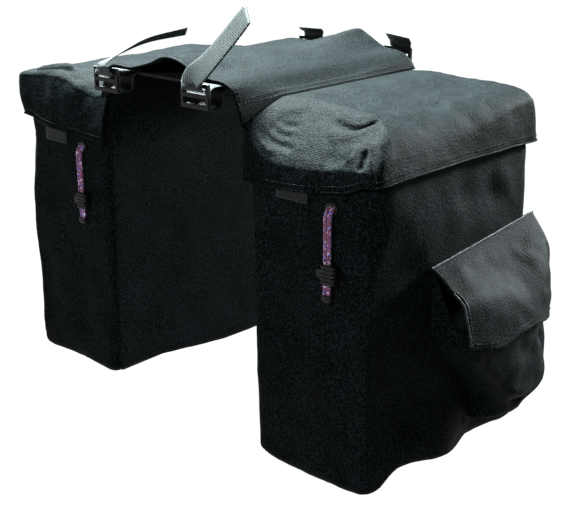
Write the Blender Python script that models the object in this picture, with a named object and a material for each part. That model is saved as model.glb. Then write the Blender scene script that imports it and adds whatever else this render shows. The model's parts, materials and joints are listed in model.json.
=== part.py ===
"""Double bicycle saddle bag: two lidded fabric panniers joined by a centre panel over a rear rack.

Frame: metres, +X to the rider's right, +Y towards the front wheel, +Z up.  The origin is the
middle of the flat underside of the bridge's reinforcing panel, where it lies on the rack's deck.
Run with: blender --background --python part.py
"""
from math import cos, pi, radians, sin

import bmesh
import bpy
from mathutils import Vector

# ---------------------------------------------------------------- driving dimensions
HALF_LENGTH = 0.124        # half the bag's length along the bicycle
SEAM_X = 0.0976            # centre-panel seam, and the hinge line of bag and lid
SEAM_Z = -0.0085
SEAM_CLEAR = 0.0021        # bare strip each side of the seam line, so that the hinges turn freely
TOP_OUT_X = 0.2405         # inner face of the outer panel, at the mouth
BOTTOM_OUT_X = 0.2440      # the same, at the base
BOTTOM_BACK_X = 0.1070     # inner face of the back panel, at the base
MOUTH_Z = -0.0320          # top edge of the bag's walls
BOTTOM_Z = -0.3400         # underside of the bag
CLOTH = 0.0020             # coated cloth with its lining and seam allowances
GAP = 0.0003               # clearance between pieces that touch

LID_DROP = 0.0170          # how far the lid's top falls from the seam to its outer edge
LID_OUT_X = 0.2480         # outside of the lid's skirt
SKIRT = 0.0430             # height of the lid's skirt
SKIRT_CLOTH = 0.0016

TAPE = 0.0012              # thickness of hook tape and of loop tape
TAPE_WIDTH = 0.020

POCKET_Y = (-0.045, 0.120)
POCKET_Z = (-0.290, -0.143)
POCKET_X = 0.3010          # outside of the pocket's front
POCKET_MOUTH_DROP = 0.020  # how much lower the pocket's mouth is at its front
FLAP_OUT_X = 0.3060
FLAP_HINGE_Z = -0.1370
FLAP_TIP_Z = -0.2010
FLAP_TURN_Z = -0.1560      # the flap's fold, where it turns down over the pocket's front

WEBBING = 0.0270
WEBBING_THICK = 0.0013
STRAP_X = 0.0610           # middle of each rack strap

BUCKLE = (0.0350, 0.0230, 0.0038)      # ladder lock: width, height, thickness
BUCKLE_BAR = 0.0038
BUCKLE_Y = 0.1478
BUCKLE_FOOT_Z = -0.0135

CORD = 0.0036              # drawcord's diameter
CORD_PITCH = 0.0042        # distance between its two hanging strands
CORD_Y = -HALF_LENGTH - 0.0058         # the hanging strands' place behind the bag
EYELET_Z = -0.0830
LOCK_Z = (-0.1475, -0.1300)
LOCK_X = (-0.0052, 0.0096) # the cord lock's two ends, from the middle of the cord
LOCK_DEPTH = 0.0090
LOCK_BORE = (0.0035, 0.0042)           # half depth and half height of the plunger's bore
PLUNGER_TRAVEL = 0.0018
CORD_END_Z = -0.1640
CORD_X = {1: 0.1970, -1: -0.1370}
TAB_X = {1: 0.1530, -1: -0.1800}
TAB_WIDTH = 0.0360

SIDES = {"right": 1, "left": -1}

# ---------------------------------------------------------------- materials
LOOKS = {
    "cloth": ((0.022, 0.026, 0.027), 0.85, 0.0),
    "lining": ((0.015, 0.016, 0.017), 0.80, 0.0),
    "webbing": ((0.020, 0.023, 0.024), 0.75, 0.0),
    "tape": ((0.018, 0.018, 0.019), 0.95, 0.0),
    "plastic": ((0.012, 0.012, 0.013), 0.40, 0.0),
    "board": ((0.030, 0.030, 0.030), 0.60, 0.0),
    "cord": ((0.160, 0.030, 0.090), 0.80, 0.0),
    "steel": ((0.560, 0.560, 0.550), 0.30, 1.0),
}


def material(name, look):
    """A Principled material of this piece's own."""
    colour, roughness, metallic = LOOKS[look]
    made = bpy.data.materials.new(name)
    made.use_nodes = True
    shader = made.node_tree.nodes["Principled BSDF"]
    shader.inputs["Base Color"].default_value = (*colour, 1.0)
    shader.inputs["Roughness"].default_value = roughness
    shader.inputs["Metallic"].default_value = metallic
    return made


# ---------------------------------------------------------------- making solids
def solid(name, look, vertices, faces):
    """A closed mesh object with its faces pointing out."""
    mesh = bpy.data.meshes.new(name)
    work = bmesh.new()
    made = [work.verts.new(v) for v in vertices]
    for face in faces:
        work.faces.new([made[i] for i in face])
    bmesh.ops.recalc_face_normals(work, faces=work.faces)
    work.to_mesh(mesh)
    work.free()
    thing = bpy.data.objects.new(name, mesh)
    thing.data.materials.append(material(name, look))
    bpy.context.collection.objects.link(thing)
    return thing


def loft(name, look, sections, closed=False):
    """Joins equal rings of points; an open loft is capped at both ends."""
    size = len(sections[0])
    vertices = [point for ring in sections for point in ring]
    faces = []
    count = len(sections)
    for i in range(count if closed else count - 1):
        here, there = i * size, (i + 1) % count * size
        for k in range(size):
            after = (k + 1) % size
            faces.append((here + k, here + after, there + after, there + k))
    if not closed:
        faces.append(tuple(range(size))[::-1])
        faces.append(tuple(range((count - 1) * size, count * size)))
    return solid(name, look, vertices, faces)


def smooth_path(points, steps):
    """A Catmull-Rom curve through the points, with this many steps in each stretch."""
    points = [Vector(p) for p in points]
    ends = [points[0] * 2 - points[1]] + points + [points[-1] * 2 - points[-2]]
    path = []
    for a, b, c, d in zip(ends, ends[1:], ends[2:], ends[3:]):
        for i in range(steps):
            t = i / steps
            path.append(0.5 * (2 * b + (c - a) * t + (2 * a - 5 * b + 4 * c - d) * t * t
                               + (3 * b - a - 3 * c + d) * t ** 3))
    return path + [points[-1]]


def ribbon(name, look, points, width, across=((1, 0, 0), (1, 0, 0)), steps=4, thick=WEBBING_THICK):
    """A flat strap along a smooth path; its width turns from the first direction to the second."""
    path = smooth_path(points, steps)
    first, last = Vector(across[0]).normalized(), Vector(across[1]).normalized()
    rings = []
    for i, point in enumerate(path):
        along = (path[min(i + 1, len(path) - 1)] - path[max(i - 1, 0)]).normalized()
        side = first.lerp(last, max(0, (i / (len(path) - 1) - 0.4) / 0.6))
        side = (side - along * side.dot(along)).normalized()
        up = side.cross(along)
        half, deep = side * width / 2, up * thick / 2
        rings.append([point - half - deep, point + half - deep, point + half + deep,
                      point - half + deep])
    return loft(name, look, rings)


def slab(name, look, low, high):
    """A plain box between two corners."""
    (x0, y0, z0), (x1, y1, z1) = low, high
    ring = [(x0, y0), (x1, y0), (x1, y1), (x0, y1)]
    return loft(name, look, [[(x, y, z) for x, y in ring] for z in (z0, z1)])


def cut(target, cutter):
    """Takes the cutter out of the target."""
    cutter.hide_render = True
    cutter.display_type = "WIRE"
    boolean = target.modifiers.new("cut", "BOOLEAN")
    boolean.operation = "DIFFERENCE"
    boolean.solver = "EXACT"
    boolean.object = cutter


def arc(centre, radius, start, stop, steps):
    """Points on a circular arc, by angle in degrees."""
    turns = [radians(start + (stop - start) * i / steps) for i in range(steps + 1)]
    return [(centre[0] + radius * cos(a), centre[1] + radius * sin(a)) for a in turns]


def oblong(half_length, radius, steps=6):
    """A slot outline with round ends, in its own plane."""
    return (arc((half_length, 0), radius, -90, 90, steps)
            + arc((-half_length, 0), radius, 90, 270, steps))


# ---------------------------------------------------------------- shape rules of one bag
def back_x(z):
    """Inner face of the back panel at this height."""
    share = (z - MOUTH_Z) / (BOTTOM_Z - MOUTH_Z)
    top = SEAM_X + SEAM_CLEAR + CLOTH
    return top + (BOTTOM_BACK_X - top) * share


def out_x(z):
    """Inner face of the outer panel at this height."""
    share = (z - MOUTH_Z) / (BOTTOM_Z - MOUTH_Z)
    return TOP_OUT_X + (BOTTOM_OUT_X - TOP_OUT_X) * share


def lid_z(x):
    """Top of the lid at this distance from the middle."""
    return SEAM_Z + 0.001 - LID_DROP * (x - SEAM_X) / (LID_OUT_X - SEAM_X)


def wall_outline(inset, corner=0.016, steps=5):
    """Side view of the bag's wall as (y, z), down the rear, along the base, up the front."""
    half = HALF_LENGTH - inset
    low = BOTTOM_Z + inset
    radius = corner - inset
    return ([(-half, MOUTH_Z), (-half, -0.08), (-half, -0.16)]
            + arc((-half + radius, low + radius), radius, 180, 270, steps)
            + arc((half - radius, low + radius), radius, 270, 360, steps)
            + [(half, -0.16), (half, -0.08), (half, MOUTH_Z)])


def face_panel(name, x_of, thickness, side):
    """A flat face of the bag, closing one side of the gusset."""
    outline = wall_outline(0.0)
    near = [(side * x_of(z), y, z) for y, z in outline]
    far = [(side * (x_of(z) + thickness), y, z) for y, z in outline]
    return loft(name, "cloth", [near, far])


# ---------------------------------------------------------------- bridge over the rack
def bridge_base():
    """Reinforcing panel that lies on the rack's deck."""
    slab("bridge_base", "board", (-0.076, -0.118, 0), (0.076, 0.118, 0.0025))


def centre_panel():
    """Cover between the two seams, humped clear of the straps' sewn ends."""
    edge = SEAM_X - SEAM_CLEAR - 0.0005
    knots = [(-edge, 0, SEAM_Z), (-0.077, 0, 0.0080), (-0.040, 0, 0.0130), (0, 0, 0.0200),
             (0.040, 0, 0.0130), (0.077, 0, 0.0080), (edge, 0, SEAM_Z)]
    ribbon("centre_panel", "cloth", knots, 2 * HALF_LENGTH, ((0, 1, 0), (0, 1, 0)), 5,
           SKIRT_CLOTH)


def rack_strap(end, side_name, tail, twist):
    """One rack strap: webbing over the tube, a tab under it, a ladder lock and a loose tail."""
    back = -1 if end == "rear" else 1
    side = SIDES[side_name]
    name = f"{end}_{side_name}"
    x = side * STRAP_X
    tab_z = 0.0028 + WEBBING_THICK / 2
    strap_z = tab_z + WEBBING_THICK + GAP
    over = [(x, back * y, z) for y, z in (
        (0.088, strap_z), (0.110, strap_z), (0.130, strap_z), (0.1395, 0.0045), (0.1445, 0.0000),
        (0.1448, -0.0032))]
    ribbon(f"{name}_strap", "webbing", over, WEBBING, steps=3)
    under = [(x, back * y, z) for y, z in (
        (0.090, tab_z), (0.1130, tab_z), (0.1215, 0.0028), (0.1262, -0.0015),
        (0.1268, -0.0080), (0.1310, -0.0130), (0.1375, -0.0142), (0.1442, -0.0126))]
    ribbon(f"{name}_strap_tab", "webbing", under, WEBBING, steps=3)
    ladder_lock(f"{name}_buckle", x, back)
    start = [(x, back * (BUCKLE_Y - 0.0008), 0.0028), (x, back * (BUCKLE_Y + 0.0034), 0.0032),
             (x, back * (BUCKLE_Y + 0.0042), 0.0075), (x, back * (BUCKLE_Y + 0.0034), 0.0130)]
    ribbon(f"{name}_strap_tail", "webbing", start + tail, WEBBING, ((1, 0, 0), twist), 4)


def ladder_lock(name, x, back):
    """Moulded frame with three bars and two slots, standing against the rack's tube."""
    width, height, thick = BUCKLE
    y = back * BUCKLE_Y
    foot = BUCKLE_FOOT_Z
    frame = slab(name, "plastic", (x - width / 2, y - thick / 2, foot),
                 (x + width / 2, y + thick / 2, foot + height))
    bevel = frame.modifiers.new("soft edges", "BEVEL")
    bevel.width = 0.0009
    bevel.segments = 2
    slot = (height - 3 * BUCKLE_BAR) / 2
    for i in range(2):
        low = foot + BUCKLE_BAR + i * (slot + BUCKLE_BAR)
        cut(frame, slab(f"{name}_slot_{i}", "plastic",
                        (x - WEBBING / 2 - 0.0007, y - thick, low),
                        (x + WEBBING / 2 + 0.0007, y + thick, low + slot)))


# ---------------------------------------------------------------- one bag
def gusset(name, side):
    """One strip of cloth: down the bag's rear, along its base and up its front."""
    rings = []
    for (y0, z0), (y1, z1) in zip(wall_outline(0.0), wall_outline(CLOTH)):
        x0 = side * (back_x(z0) + GAP)
        x1 = side * (out_x(z0) - GAP)
        rings.append([(x0, y0, z0), (x1, y0, z0), (x1, y1, z1), (x0, y1, z1)])
    wall = loft(name, "cloth", rings)
    hole = oblong(CORD_PITCH / 2, CORD / 2 + 0.0008)
    rings = [[(CORD_X[side] + u, y, EYELET_Z + v) for u, v in hole]
             for y in (-HALF_LENGTH - 0.004, -HALF_LENGTH + 0.006)]
    cut(wall, loft(f"{name}_hole", "cloth", rings))


def back_board(name, side):
    """Stiff sheet inside the bag's back, which keeps it out of the wheel."""
    y = HALF_LENGTH - CLOTH - 0.010
    rings = []
    for z in (BOTTOM_Z + CLOTH + 0.006, EYELET_Z - 0.016):
        x0 = side * (back_x(z) + 0.0005)
        x1 = side * (back_x(z) + 0.0025)
        rings.append([(x0, -y, z), (x1, -y, z), (x1, y, z), (x0, y, z)])
    loft(name, "board", rings)


def mouth_ring(inset, corner=0.014, steps=4):
    """Plan of the mouth's inside as (x, y, outward x, outward y), starting at the rear middle."""
    x0 = SEAM_X + SEAM_CLEAR + CLOTH + 0.0022 + inset
    x1 = TOP_OUT_X - inset
    half = HALF_LENGTH - CLOTH - inset
    points = []
    corners = [((x1 - corner, -half + corner), 270), ((x1 - corner, half - corner), 0),
               ((x0 + corner, half - corner), 90), ((x0 + corner, -half + corner), 180)]
    for centre, start in corners:
        for i in range(steps + 1):
            angle = radians(start + 90 * i / steps)
            points.append((centre[0] + corner * cos(angle), centre[1] + corner * sin(angle),
                           cos(angle), sin(angle)))
    return points


def casing(name, side):
    """Tunnel strip sewn inside the mouth: its open side faces the bag's wall."""
    profile = [(0.0003, 0.0090), (0.0003, 0.0077), (0.0058, 0.0043), (0.0058, -0.0043),
               (0.0003, -0.0077), (0.0003, -0.0090), (0.0013, -0.0090), (0.0071, -0.0051),
               (0.0071, 0.0051), (0.0013, 0.0090)]
    rings = [[(side * (x - nx * n), y - ny * n, EYELET_Z + z) for n, z in profile]
             for x, y, nx, ny in mouth_ring(0.0)]
    loft(name, "lining", rings, closed=True)


def drawcord(name, side):
    """The cord: up from its end, in at the eyelet, round the casing and out again."""
    middle = CORD_X[side]
    inside = -HALF_LENGTH + CLOTH + 0.0031
    ring = [(side * (x - nx * 0.0031), y - ny * 0.0031, EYELET_Z)
            for x, y, nx, ny in mouth_ring(0.0)]
    if side < 0:
        ring = ring[::-1]
    half = CORD_PITCH / 2
    down = [(0, CORD_Y, CORD_END_Z + 0.0060), (0, CORD_Y, -0.150), (0, CORD_Y, -0.135),
            (0, CORD_Y, -0.110), (0, CORD_Y, EYELET_Z - 0.014),
            (0, CORD_Y + 0.0004, EYELET_Z - 0.0050), (0, CORD_Y + 0.0035, EYELET_Z - 0.0004),
            (0, -HALF_LENGTH + 0.001, EYELET_Z)]
    first = [(middle + half, y, z) for _, y, z in down]
    last = [(middle - half, y, z) for _, y, z in down[::-1]]
    turn_in = [(middle + half + 0.0020, inside, EYELET_Z)]
    turn_out = [(middle - half - 0.0020, inside, EYELET_Z)]
    path = smooth_path(first, 2) + turn_in + ring + turn_out + smooth_path(last, 2)
    curve = bpy.data.curves.new(name, "CURVE")
    curve.dimensions = "3D"
    curve.bevel_depth = CORD / 2
    curve.bevel_resolution = 2
    curve.use_fill_caps = True
    curve.render_resolution_u = 0
    spline = curve.splines.new("POLY")
    spline.points.add(len(path) - 1)
    for point, place in zip(spline.points, path):
        point.co = (*place, 1)
    thing = bpy.data.objects.new(name, curve)
    curve.materials.append(material(name, "cord"))
    bpy.context.collection.objects.link(thing)


def eyelet(name, side):
    """Oval moulded ring round the hole that the drawcord comes out of."""
    outer = oblong(CORD_PITCH / 2, CORD / 2 + 0.0032)
    inner = oblong(CORD_PITCH / 2, CORD / 2 + 0.0008)
    y0, y1 = -HALF_LENGTH - GAP, -HALF_LENGTH - GAP - 0.0012
    rings = [[(CORD_X[side] + u, y, EYELET_Z + v) for u, v in shape]
             for shape, y in ((inner, y0), (outer, y0), (outer, y1), (inner, y1))]
    sections = [list(points) for points in zip(*rings)]
    loft(name, "plastic", sections, closed=True)


def cord_end(name, side):
    """Moulded end that joins the two strands below the cord lock."""
    rings = []
    for z, grow in ((CORD_END_Z, 0.0002), (CORD_END_Z + 0.0015, 0.0012),
                    (CORD_END_Z + 0.0057, 0.0010)):
        rings.append([(CORD_X[side] + u, CORD_Y + v, z)
                      for u, v in oblong(CORD_PITCH / 2, CORD / 2 + grow)])
    loft(name, "plastic", rings)


def lid_loop_tape(name, side):
    """Loop tape on the outside of the bag, under the lid's outer skirt."""
    z1 = lid_z(LID_OUT_X) - SKIRT + TAPE_WIDTH + 0.003
    z0 = z1 - TAPE_WIDTH
    rings = []
    for z in (z0, z1):
        x = out_x(z) + CLOTH + GAP
        rings.append([(side * (x + dx), y, z) for dx, y in (
            (0, -0.095), (TAPE, -0.095), (TAPE, 0.095), (0, 0.095))])
    loft(name, "tape", rings)


def pocket_outline(inset, corner=0.020):
    """Side view of the pocket's edge as (y, z), down the rear, along, and up the front."""
    y0, y1 = POCKET_Y
    z0, z1 = POCKET_Z
    radius = corner - inset
    return ([(y0 + inset, z1)] + arc((y0 + corner, z0 + corner), radius, 180, 270, 4)
            + arc((y1 - corner, z0 + corner), radius, 270, 360, 4) + [(y1 - inset, z1)])


def pocket_gusset(name, side):
    """Strip that makes the pocket's two sides and its bottom."""
    far = POCKET_X - CLOTH - GAP
    rings = []
    for (ya, za), (yb, zb) in zip(pocket_outline(0), pocket_outline(CLOTH)):
        near = out_x(za) + CLOTH + GAP
        drop = POCKET_MOUTH_DROP if za == POCKET_Z[1] else 0
        rings.append([(side * near, ya, za), (side * far, ya, za - drop),
                      (side * far, yb, zb - drop), (side * near, yb, zb)])
    loft(name, "cloth", rings)


def pocket_front(name, side):
    """Outer face of the pocket."""
    top = POCKET_Z[1] - POCKET_MOUTH_DROP
    loft(name, "cloth", [[(side * x, y, min(z, top)) for y, z in pocket_outline(0)]
                         for x in (POCKET_X - CLOTH, POCKET_X)])


def pocket_tape(name, side, near):
    """Fastening tape across the pocket's front or the flap's inside."""
    low = FLAP_TIP_Z + 0.006
    slab(name, "tape", (side * near, -0.020, low),
         (side * (near + TAPE), 0.095, low + TAPE_WIDTH))


def pocket_flap(name, side):
    """Flap that comes out of the panel's seam and turns down over the pocket."""
    root = out_x(FLAP_HINGE_Z) + CLOTH + 0.0030
    t = CLOTH
    outline = [(root, FLAP_HINGE_Z), (root + 0.012, FLAP_HINGE_Z - 0.0010),
               (FLAP_OUT_X - 0.010, FLAP_TURN_Z + 0.0080), (FLAP_OUT_X, FLAP_TURN_Z - 0.0050),
               (FLAP_OUT_X, FLAP_TIP_Z), (FLAP_OUT_X - t, FLAP_TIP_Z),
               (FLAP_OUT_X - t, FLAP_TURN_Z - 0.0050),
               (FLAP_OUT_X - 0.0115, FLAP_TURN_Z + 0.0062),
               (root + 0.012, FLAP_HINGE_Z - 0.0030), (root, FLAP_HINGE_Z - t)]
    loft(name, "cloth", [[(side * x, y, z) for x, z in outline]
                         for y in (POCKET_Y[0] - 0.002, POCKET_Y[1] + 0.002)])


# ---------------------------------------------------------------- lid
def lid_plan(inset):
    """Plan of the lid's edge as (x, y): rear, outer side, front."""
    x0 = SEAM_X + SEAM_CLEAR
    half = HALF_LENGTH + 0.0020 + SKIRT_CLOTH
    corner = 0.0050
    radius = corner - inset
    out = LID_OUT_X - corner
    return ([(x0, -half + inset), (x0 + 0.05, -half + inset), (x0 + 0.10, -half + inset)]
            + arc((out, -half + corner), radius, 270, 360, 4)
            + arc((out, half - corner), radius, 0, 90, 4)
            + [(x0 + 0.10, half - inset), (x0 + 0.05, half - inset), (x0, half - inset)])


def lid_top(name, side):
    """Top panel of the lid, within its skirt."""
    outline = lid_plan(SKIRT_CLOTH + GAP)
    loft(name, "cloth", [[(side * x, y, lid_z(x) - drop) for x, y in outline]
                         for drop in (0, CLOTH)])


def lid_skirt(name, side):
    """Strip round the lid's rear, outer and front edges."""
    rings = []
    for (xa, ya), (xb, yb) in zip(lid_plan(0), lid_plan(SKIRT_CLOTH)):
        top = lid_z(xa)
        low = top - SKIRT - 0.010 * (LID_OUT_X - xa) / (LID_OUT_X - SEAM_X)
        rings.append([(side * xa, ya, low), (side * xa, ya, top), (side * xb, yb, top),
                      (side * xb, yb, low)])
    loft(name, "cloth", rings)


def lid_hook_tape(name, side):
    """Hook tape inside the lid's outer skirt."""
    x1 = LID_OUT_X - SKIRT_CLOTH - GAP
    z0 = lid_z(LID_OUT_X) - SKIRT + 0.003
    slab(name, "tape", (side * (x1 - TAPE), -0.095, z0), (side * x1, 0.095, z0 + TAPE_WIDTH))


def lid_pull_tab(name, side):
    """Webbing tab sewn inside the lid's rear skirt, to pull it open by."""
    y = -HALF_LENGTH - 0.0002 - WEBBING_THICK / 2
    x = TAB_X[side]
    slab(name, "webbing", (x - TAB_WIDTH / 2, y - WEBBING_THICK / 2, -0.0840),
         (x + TAB_WIDTH / 2, y + WEBBING_THICK / 2, -0.0450))


# ---------------------------------------------------------------- cord lock
def lock_barrel(name, side):
    """Ribbed barrel with an oval way through for the cord and a blind bore for its plunger."""
    x = CORD_X[side]
    z0, z1 = LOCK_Z
    centre_x = x + sum(LOCK_X) / 2
    width = LOCK_X[1] - LOCK_X[0]
    rings = []
    ribs = 5
    pitch = (z1 - z0) / ribs
    corner = 0.0030
    for i in range(ribs):
        for share, grow in ((0.04, -0.0006), (0.25, 0.0), (0.70, 0.0), (0.91, -0.0006)):
            z = z0 + (i + share) * pitch
            half_x, half_y, radius = width / 2 + grow, LOCK_DEPTH / 2 + grow, corner + grow
            ring = []
            for sx, sy, start in ((1, -1, 270), (1, 1, 0), (-1, 1, 90), (-1, -1, 180)):
                centre = (centre_x + sx * (half_x - radius), CORD_Y + sy * (half_y - radius))
                ring += arc(centre, radius, start, start + 90, 3)
            rings.append([(px, py, z) for px, py in ring])
    barrel = loft(name, "plastic", rings)
    way = [[(x + u, CORD_Y + v, z) for u, v in oblong(CORD_PITCH / 2, CORD / 2 + 0.0003)]
           for z in (z0 - 0.002, z1 + 0.002)]
    cut(barrel, loft(f"{name}_way", "plastic", way))
    middle = (z0 + z1) / 2
    deep, high = LOCK_BORE
    cut(barrel, slab(f"{name}_bore", "plastic", (x - width, CORD_Y - deep, middle - high),
                     (x + LOCK_X[1] - 0.0008, CORD_Y + deep, middle + high)))


def lock_plunger(name, side):
    """Push button whose slotted stem nips the cord."""
    x = CORD_X[side]
    middle = sum(LOCK_Z) / 2
    deep, high = (half - GAP for half in LOCK_BORE)
    stem = slab(name, "plastic", (x - 0.0094, CORD_Y - deep, middle - high),
                (x + 0.0052, CORD_Y + deep, middle + high))
    bevel = stem.modifiers.new("soft edges", "BEVEL")
    bevel.width = 0.0006
    bevel.segments = 2
    reach = (CORD_PITCH + CORD) / 2 + GAP
    cut(stem, slab(f"{name}_slot", "plastic",
                   (x - reach - PLUNGER_TRAVEL - GAP, CORD_Y - CORD / 2 - GAP, middle - 0.02),
                   (x + reach, CORD_Y + CORD / 2 + GAP, middle + 0.02)))


def lock_spring(name, side):
    """Coil spring between the plunger's end and the barrel's blind end."""
    x0 = CORD_X[side] + 0.0055
    middle = sum(LOCK_Z) / 2
    length, turns, radius, wire = 0.0030, 2, 0.0024, 0.00025
    steps = 12 * turns
    rings = []
    for i in range(steps + 1):
        angle = 2 * pi * i / 12
        outward = Vector((0, cos(angle), sin(angle)))
        along = Vector((1, 0, 0))
        centre = (Vector((x0 + wire + (length - 2 * wire) * i / steps, CORD_Y, middle))
                  + outward * radius)
        rings.append([centre + (outward * cos(a) + along * sin(a)) * wire
                      for a in (2 * pi * k / 6 for k in range(6))])
    loft(name, "steel", rings)


# ---------------------------------------------------------------- the whole bag
def pannier(side_name, side):
    """All the pieces of one bag."""
    gusset(f"{side_name}_gusset", side)
    face_panel(f"{side_name}_outer_panel", out_x, CLOTH, side)
    face_panel(f"{side_name}_back_panel", back_x, -CLOTH, side)
    back_board(f"{side_name}_back_board", side)
    casing(f"{side_name}_cord_casing", side)
    drawcord(f"{side_name}_drawcord", side)
    eyelet(f"{side_name}_eyelet", side)
    cord_end(f"{side_name}_cord_end", side)
    lid_loop_tape(f"{side_name}_lid_loop_tape", side)
    pocket_gusset(f"{side_name}_pocket_gusset", side)
    pocket_front(f"{side_name}_pocket_front", side)
    pocket_tape(f"{side_name}_pocket_loop_tape", side, POCKET_X + GAP)
    pocket_flap(f"{side_name}_pocket_flap", side)
    pocket_tape(f"{side_name}_flap_hook_tape", side, FLAP_OUT_X - CLOTH - GAP - TAPE)
    lid_top(f"{side_name}_lid_top", side)
    lid_skirt(f"{side_name}_lid_skirt", side)
    lid_hook_tape(f"{side_name}_lid_hook_tape", side)
    lid_pull_tab(f"{side_name}_lid_pull_tab", side)
    lock_barrel(f"{side_name}_lock_barrel", side)
    lock_plunger(f"{side_name}_lock_plunger", side)
    lock_spring(f"{side_name}_lock_spring", side)


# Each tail as it stands: the points after its buckle, and the way its width faces at the end.
TAILS = {
    ("rear", "right"): ([(0.075, -0.1490, 0.0250), (0.0960, -0.1420, 0.0490),
                         (0.1150, -0.1370, 0.0710)], (0.92, -0.20, 0.26)),
    ("rear", "left"): ([(-0.052, -0.1380, 0.0220), (-0.0400, -0.1130, 0.0330),
                        (-0.0200, -0.0820, 0.0400)], (0.64, -0.70, 0.33)),
    ("front", "right"): ([(0.062, 0.1480, 0.0160), (0.0650, 0.1400, 0.0215)], (1, 0, 0)),
    ("front", "left"): ([(-0.060, 0.1480, 0.0155), (-0.0560, 0.1400, 0.0195)], (0.97, 0, 0.15)),
}


def main():
    for thing in list(bpy.data.objects):
        bpy.data.objects.remove(thing)
    bridge_base()
    centre_panel()
    for (end, side_name), (tail, twist) in TAILS.items():
        rack_strap(end, side_name, tail, twist)
    for side_name, side in SIDES.items():
        pannier(side_name, side)


main()
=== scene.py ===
"""Looks of the double saddle bag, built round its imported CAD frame.

Frame: metres, +X to the rider's right, +Y towards the front wheel, +Z up.
Cloth pieces are built for the right-hand bag and mirrored for the left-hand one, each with
its own folds.
"""
import json
from math import cos, exp, pi, radians, sin, sqrt

import bmesh
import bpy
from mathutils import Matrix, Vector, noise
from mathutils.bvhtree import BVHTree


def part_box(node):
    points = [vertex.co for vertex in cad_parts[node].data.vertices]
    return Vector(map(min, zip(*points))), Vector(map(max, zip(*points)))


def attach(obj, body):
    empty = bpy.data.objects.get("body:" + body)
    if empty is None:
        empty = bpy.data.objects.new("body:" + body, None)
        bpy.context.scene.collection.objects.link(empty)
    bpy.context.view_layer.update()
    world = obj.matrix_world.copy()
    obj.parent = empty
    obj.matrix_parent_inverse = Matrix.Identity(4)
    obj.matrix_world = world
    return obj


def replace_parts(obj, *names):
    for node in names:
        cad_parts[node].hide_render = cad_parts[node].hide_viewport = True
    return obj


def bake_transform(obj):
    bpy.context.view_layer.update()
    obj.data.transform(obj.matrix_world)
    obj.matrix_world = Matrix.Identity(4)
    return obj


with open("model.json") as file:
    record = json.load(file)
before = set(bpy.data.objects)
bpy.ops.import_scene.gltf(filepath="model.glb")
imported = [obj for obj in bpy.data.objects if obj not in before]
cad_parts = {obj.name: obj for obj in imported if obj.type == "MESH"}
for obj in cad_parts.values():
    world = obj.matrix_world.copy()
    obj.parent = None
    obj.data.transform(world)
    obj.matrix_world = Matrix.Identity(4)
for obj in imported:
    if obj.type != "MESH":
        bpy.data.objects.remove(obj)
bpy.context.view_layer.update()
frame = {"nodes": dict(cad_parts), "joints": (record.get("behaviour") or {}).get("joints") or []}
JOINTS = {joint["name"]: joint for joint in frame["joints"]}

# ---- sizes read from the frame
X, Y, Z = range(3)


def span(name, axis):
    """Where a CAD node's box starts and ends along an axis."""
    low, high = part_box(name)
    return low[axis], high[axis]


SEAM_X, _, SEAM_Z = JOINTS["right_lid_open"]["pos_m"]
REAR_Y, FRONT_Y = span("right_gusset", Y)
BASE_Z = span("right_gusset", Z)[0]
PANEL_X = span("right_outer_panel", X)[1]
LID_REAR, LID_FRONT = span("right_lid_skirt", Y)
LID_X = span("right_lid_skirt", X)[1]
POCKET_X = span("right_pocket_front", X)[1]
POCKET_BASE_Z = span("right_pocket_gusset", Z)[0]
FLAP_REAR, FLAP_FRONT = span("right_pocket_flap", Y)
FLAP_X = span("right_pocket_flap", X)[1]
STRAP_LEFT, STRAP_RIGHT = span("rear_right_strap", X)
STRAP_X = (STRAP_LEFT + STRAP_RIGHT) / 2
WEB_WIDE = STRAP_RIGHT - STRAP_LEFT
LID_TAPE_Y = span("right_lid_loop_tape", Y)
TAPE_REAR, TAPE_FRONT = span("right_pocket_loop_tape", Y)
POCKET_TAPE_Y = (TAPE_REAR, TAPE_FRONT - 0.03)      # ends short of the pocket's slanting front
SIDES = {"right": 1, "left": -1}

CLOTH = 0.0015             # coated cloth with its lining
WEB_THICK = 0.0013
TAPE = 0.0012              # thickness of hook tape and of loop tape
TAPE_GRID = (8, 60)        # its rows and columns of quads
TAPE_OUTSIDE = TAPE / 2 + 0.0002
TAPE_INSIDE = -(CLOTH + TAPE / 2 + 0.0003)
THREAD = 0.0004            # half the sewing thread's thickness
CORD = 0.0036
CORD_PITCH = 0.0042        # distance between the drawcord's two hanging strands
CASING = 0.0028            # half the thickness of the drawcord's sleeve
CASING_STEP = 0.004        # spacing of the points that the sleeve's path is laid through
STITCH = 0.0034            # length of a stitch with its gap
STITCH_LIFT = 0.0001


# ---- small maths
def mix(a, b, share):
    return a + (b - a) * share


def clamp(value, low=0.0, high=1.0):
    return min(max(value, low), high)


def ease(start, end, value):
    """Smooth step from 0 at start to 1 at end."""
    t = clamp((value - start) / (end - start))
    return t * t * (3 - 2 * t)


def hill(value, middle, width):
    """Bell curve of height 1."""
    return exp(-((value - middle) / width) ** 2)


def softly(value, width):
    """Value where positive and 0 where negative, with a soft turn."""
    return 0.5 * (value + sqrt(value * value + width * width))


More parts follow.
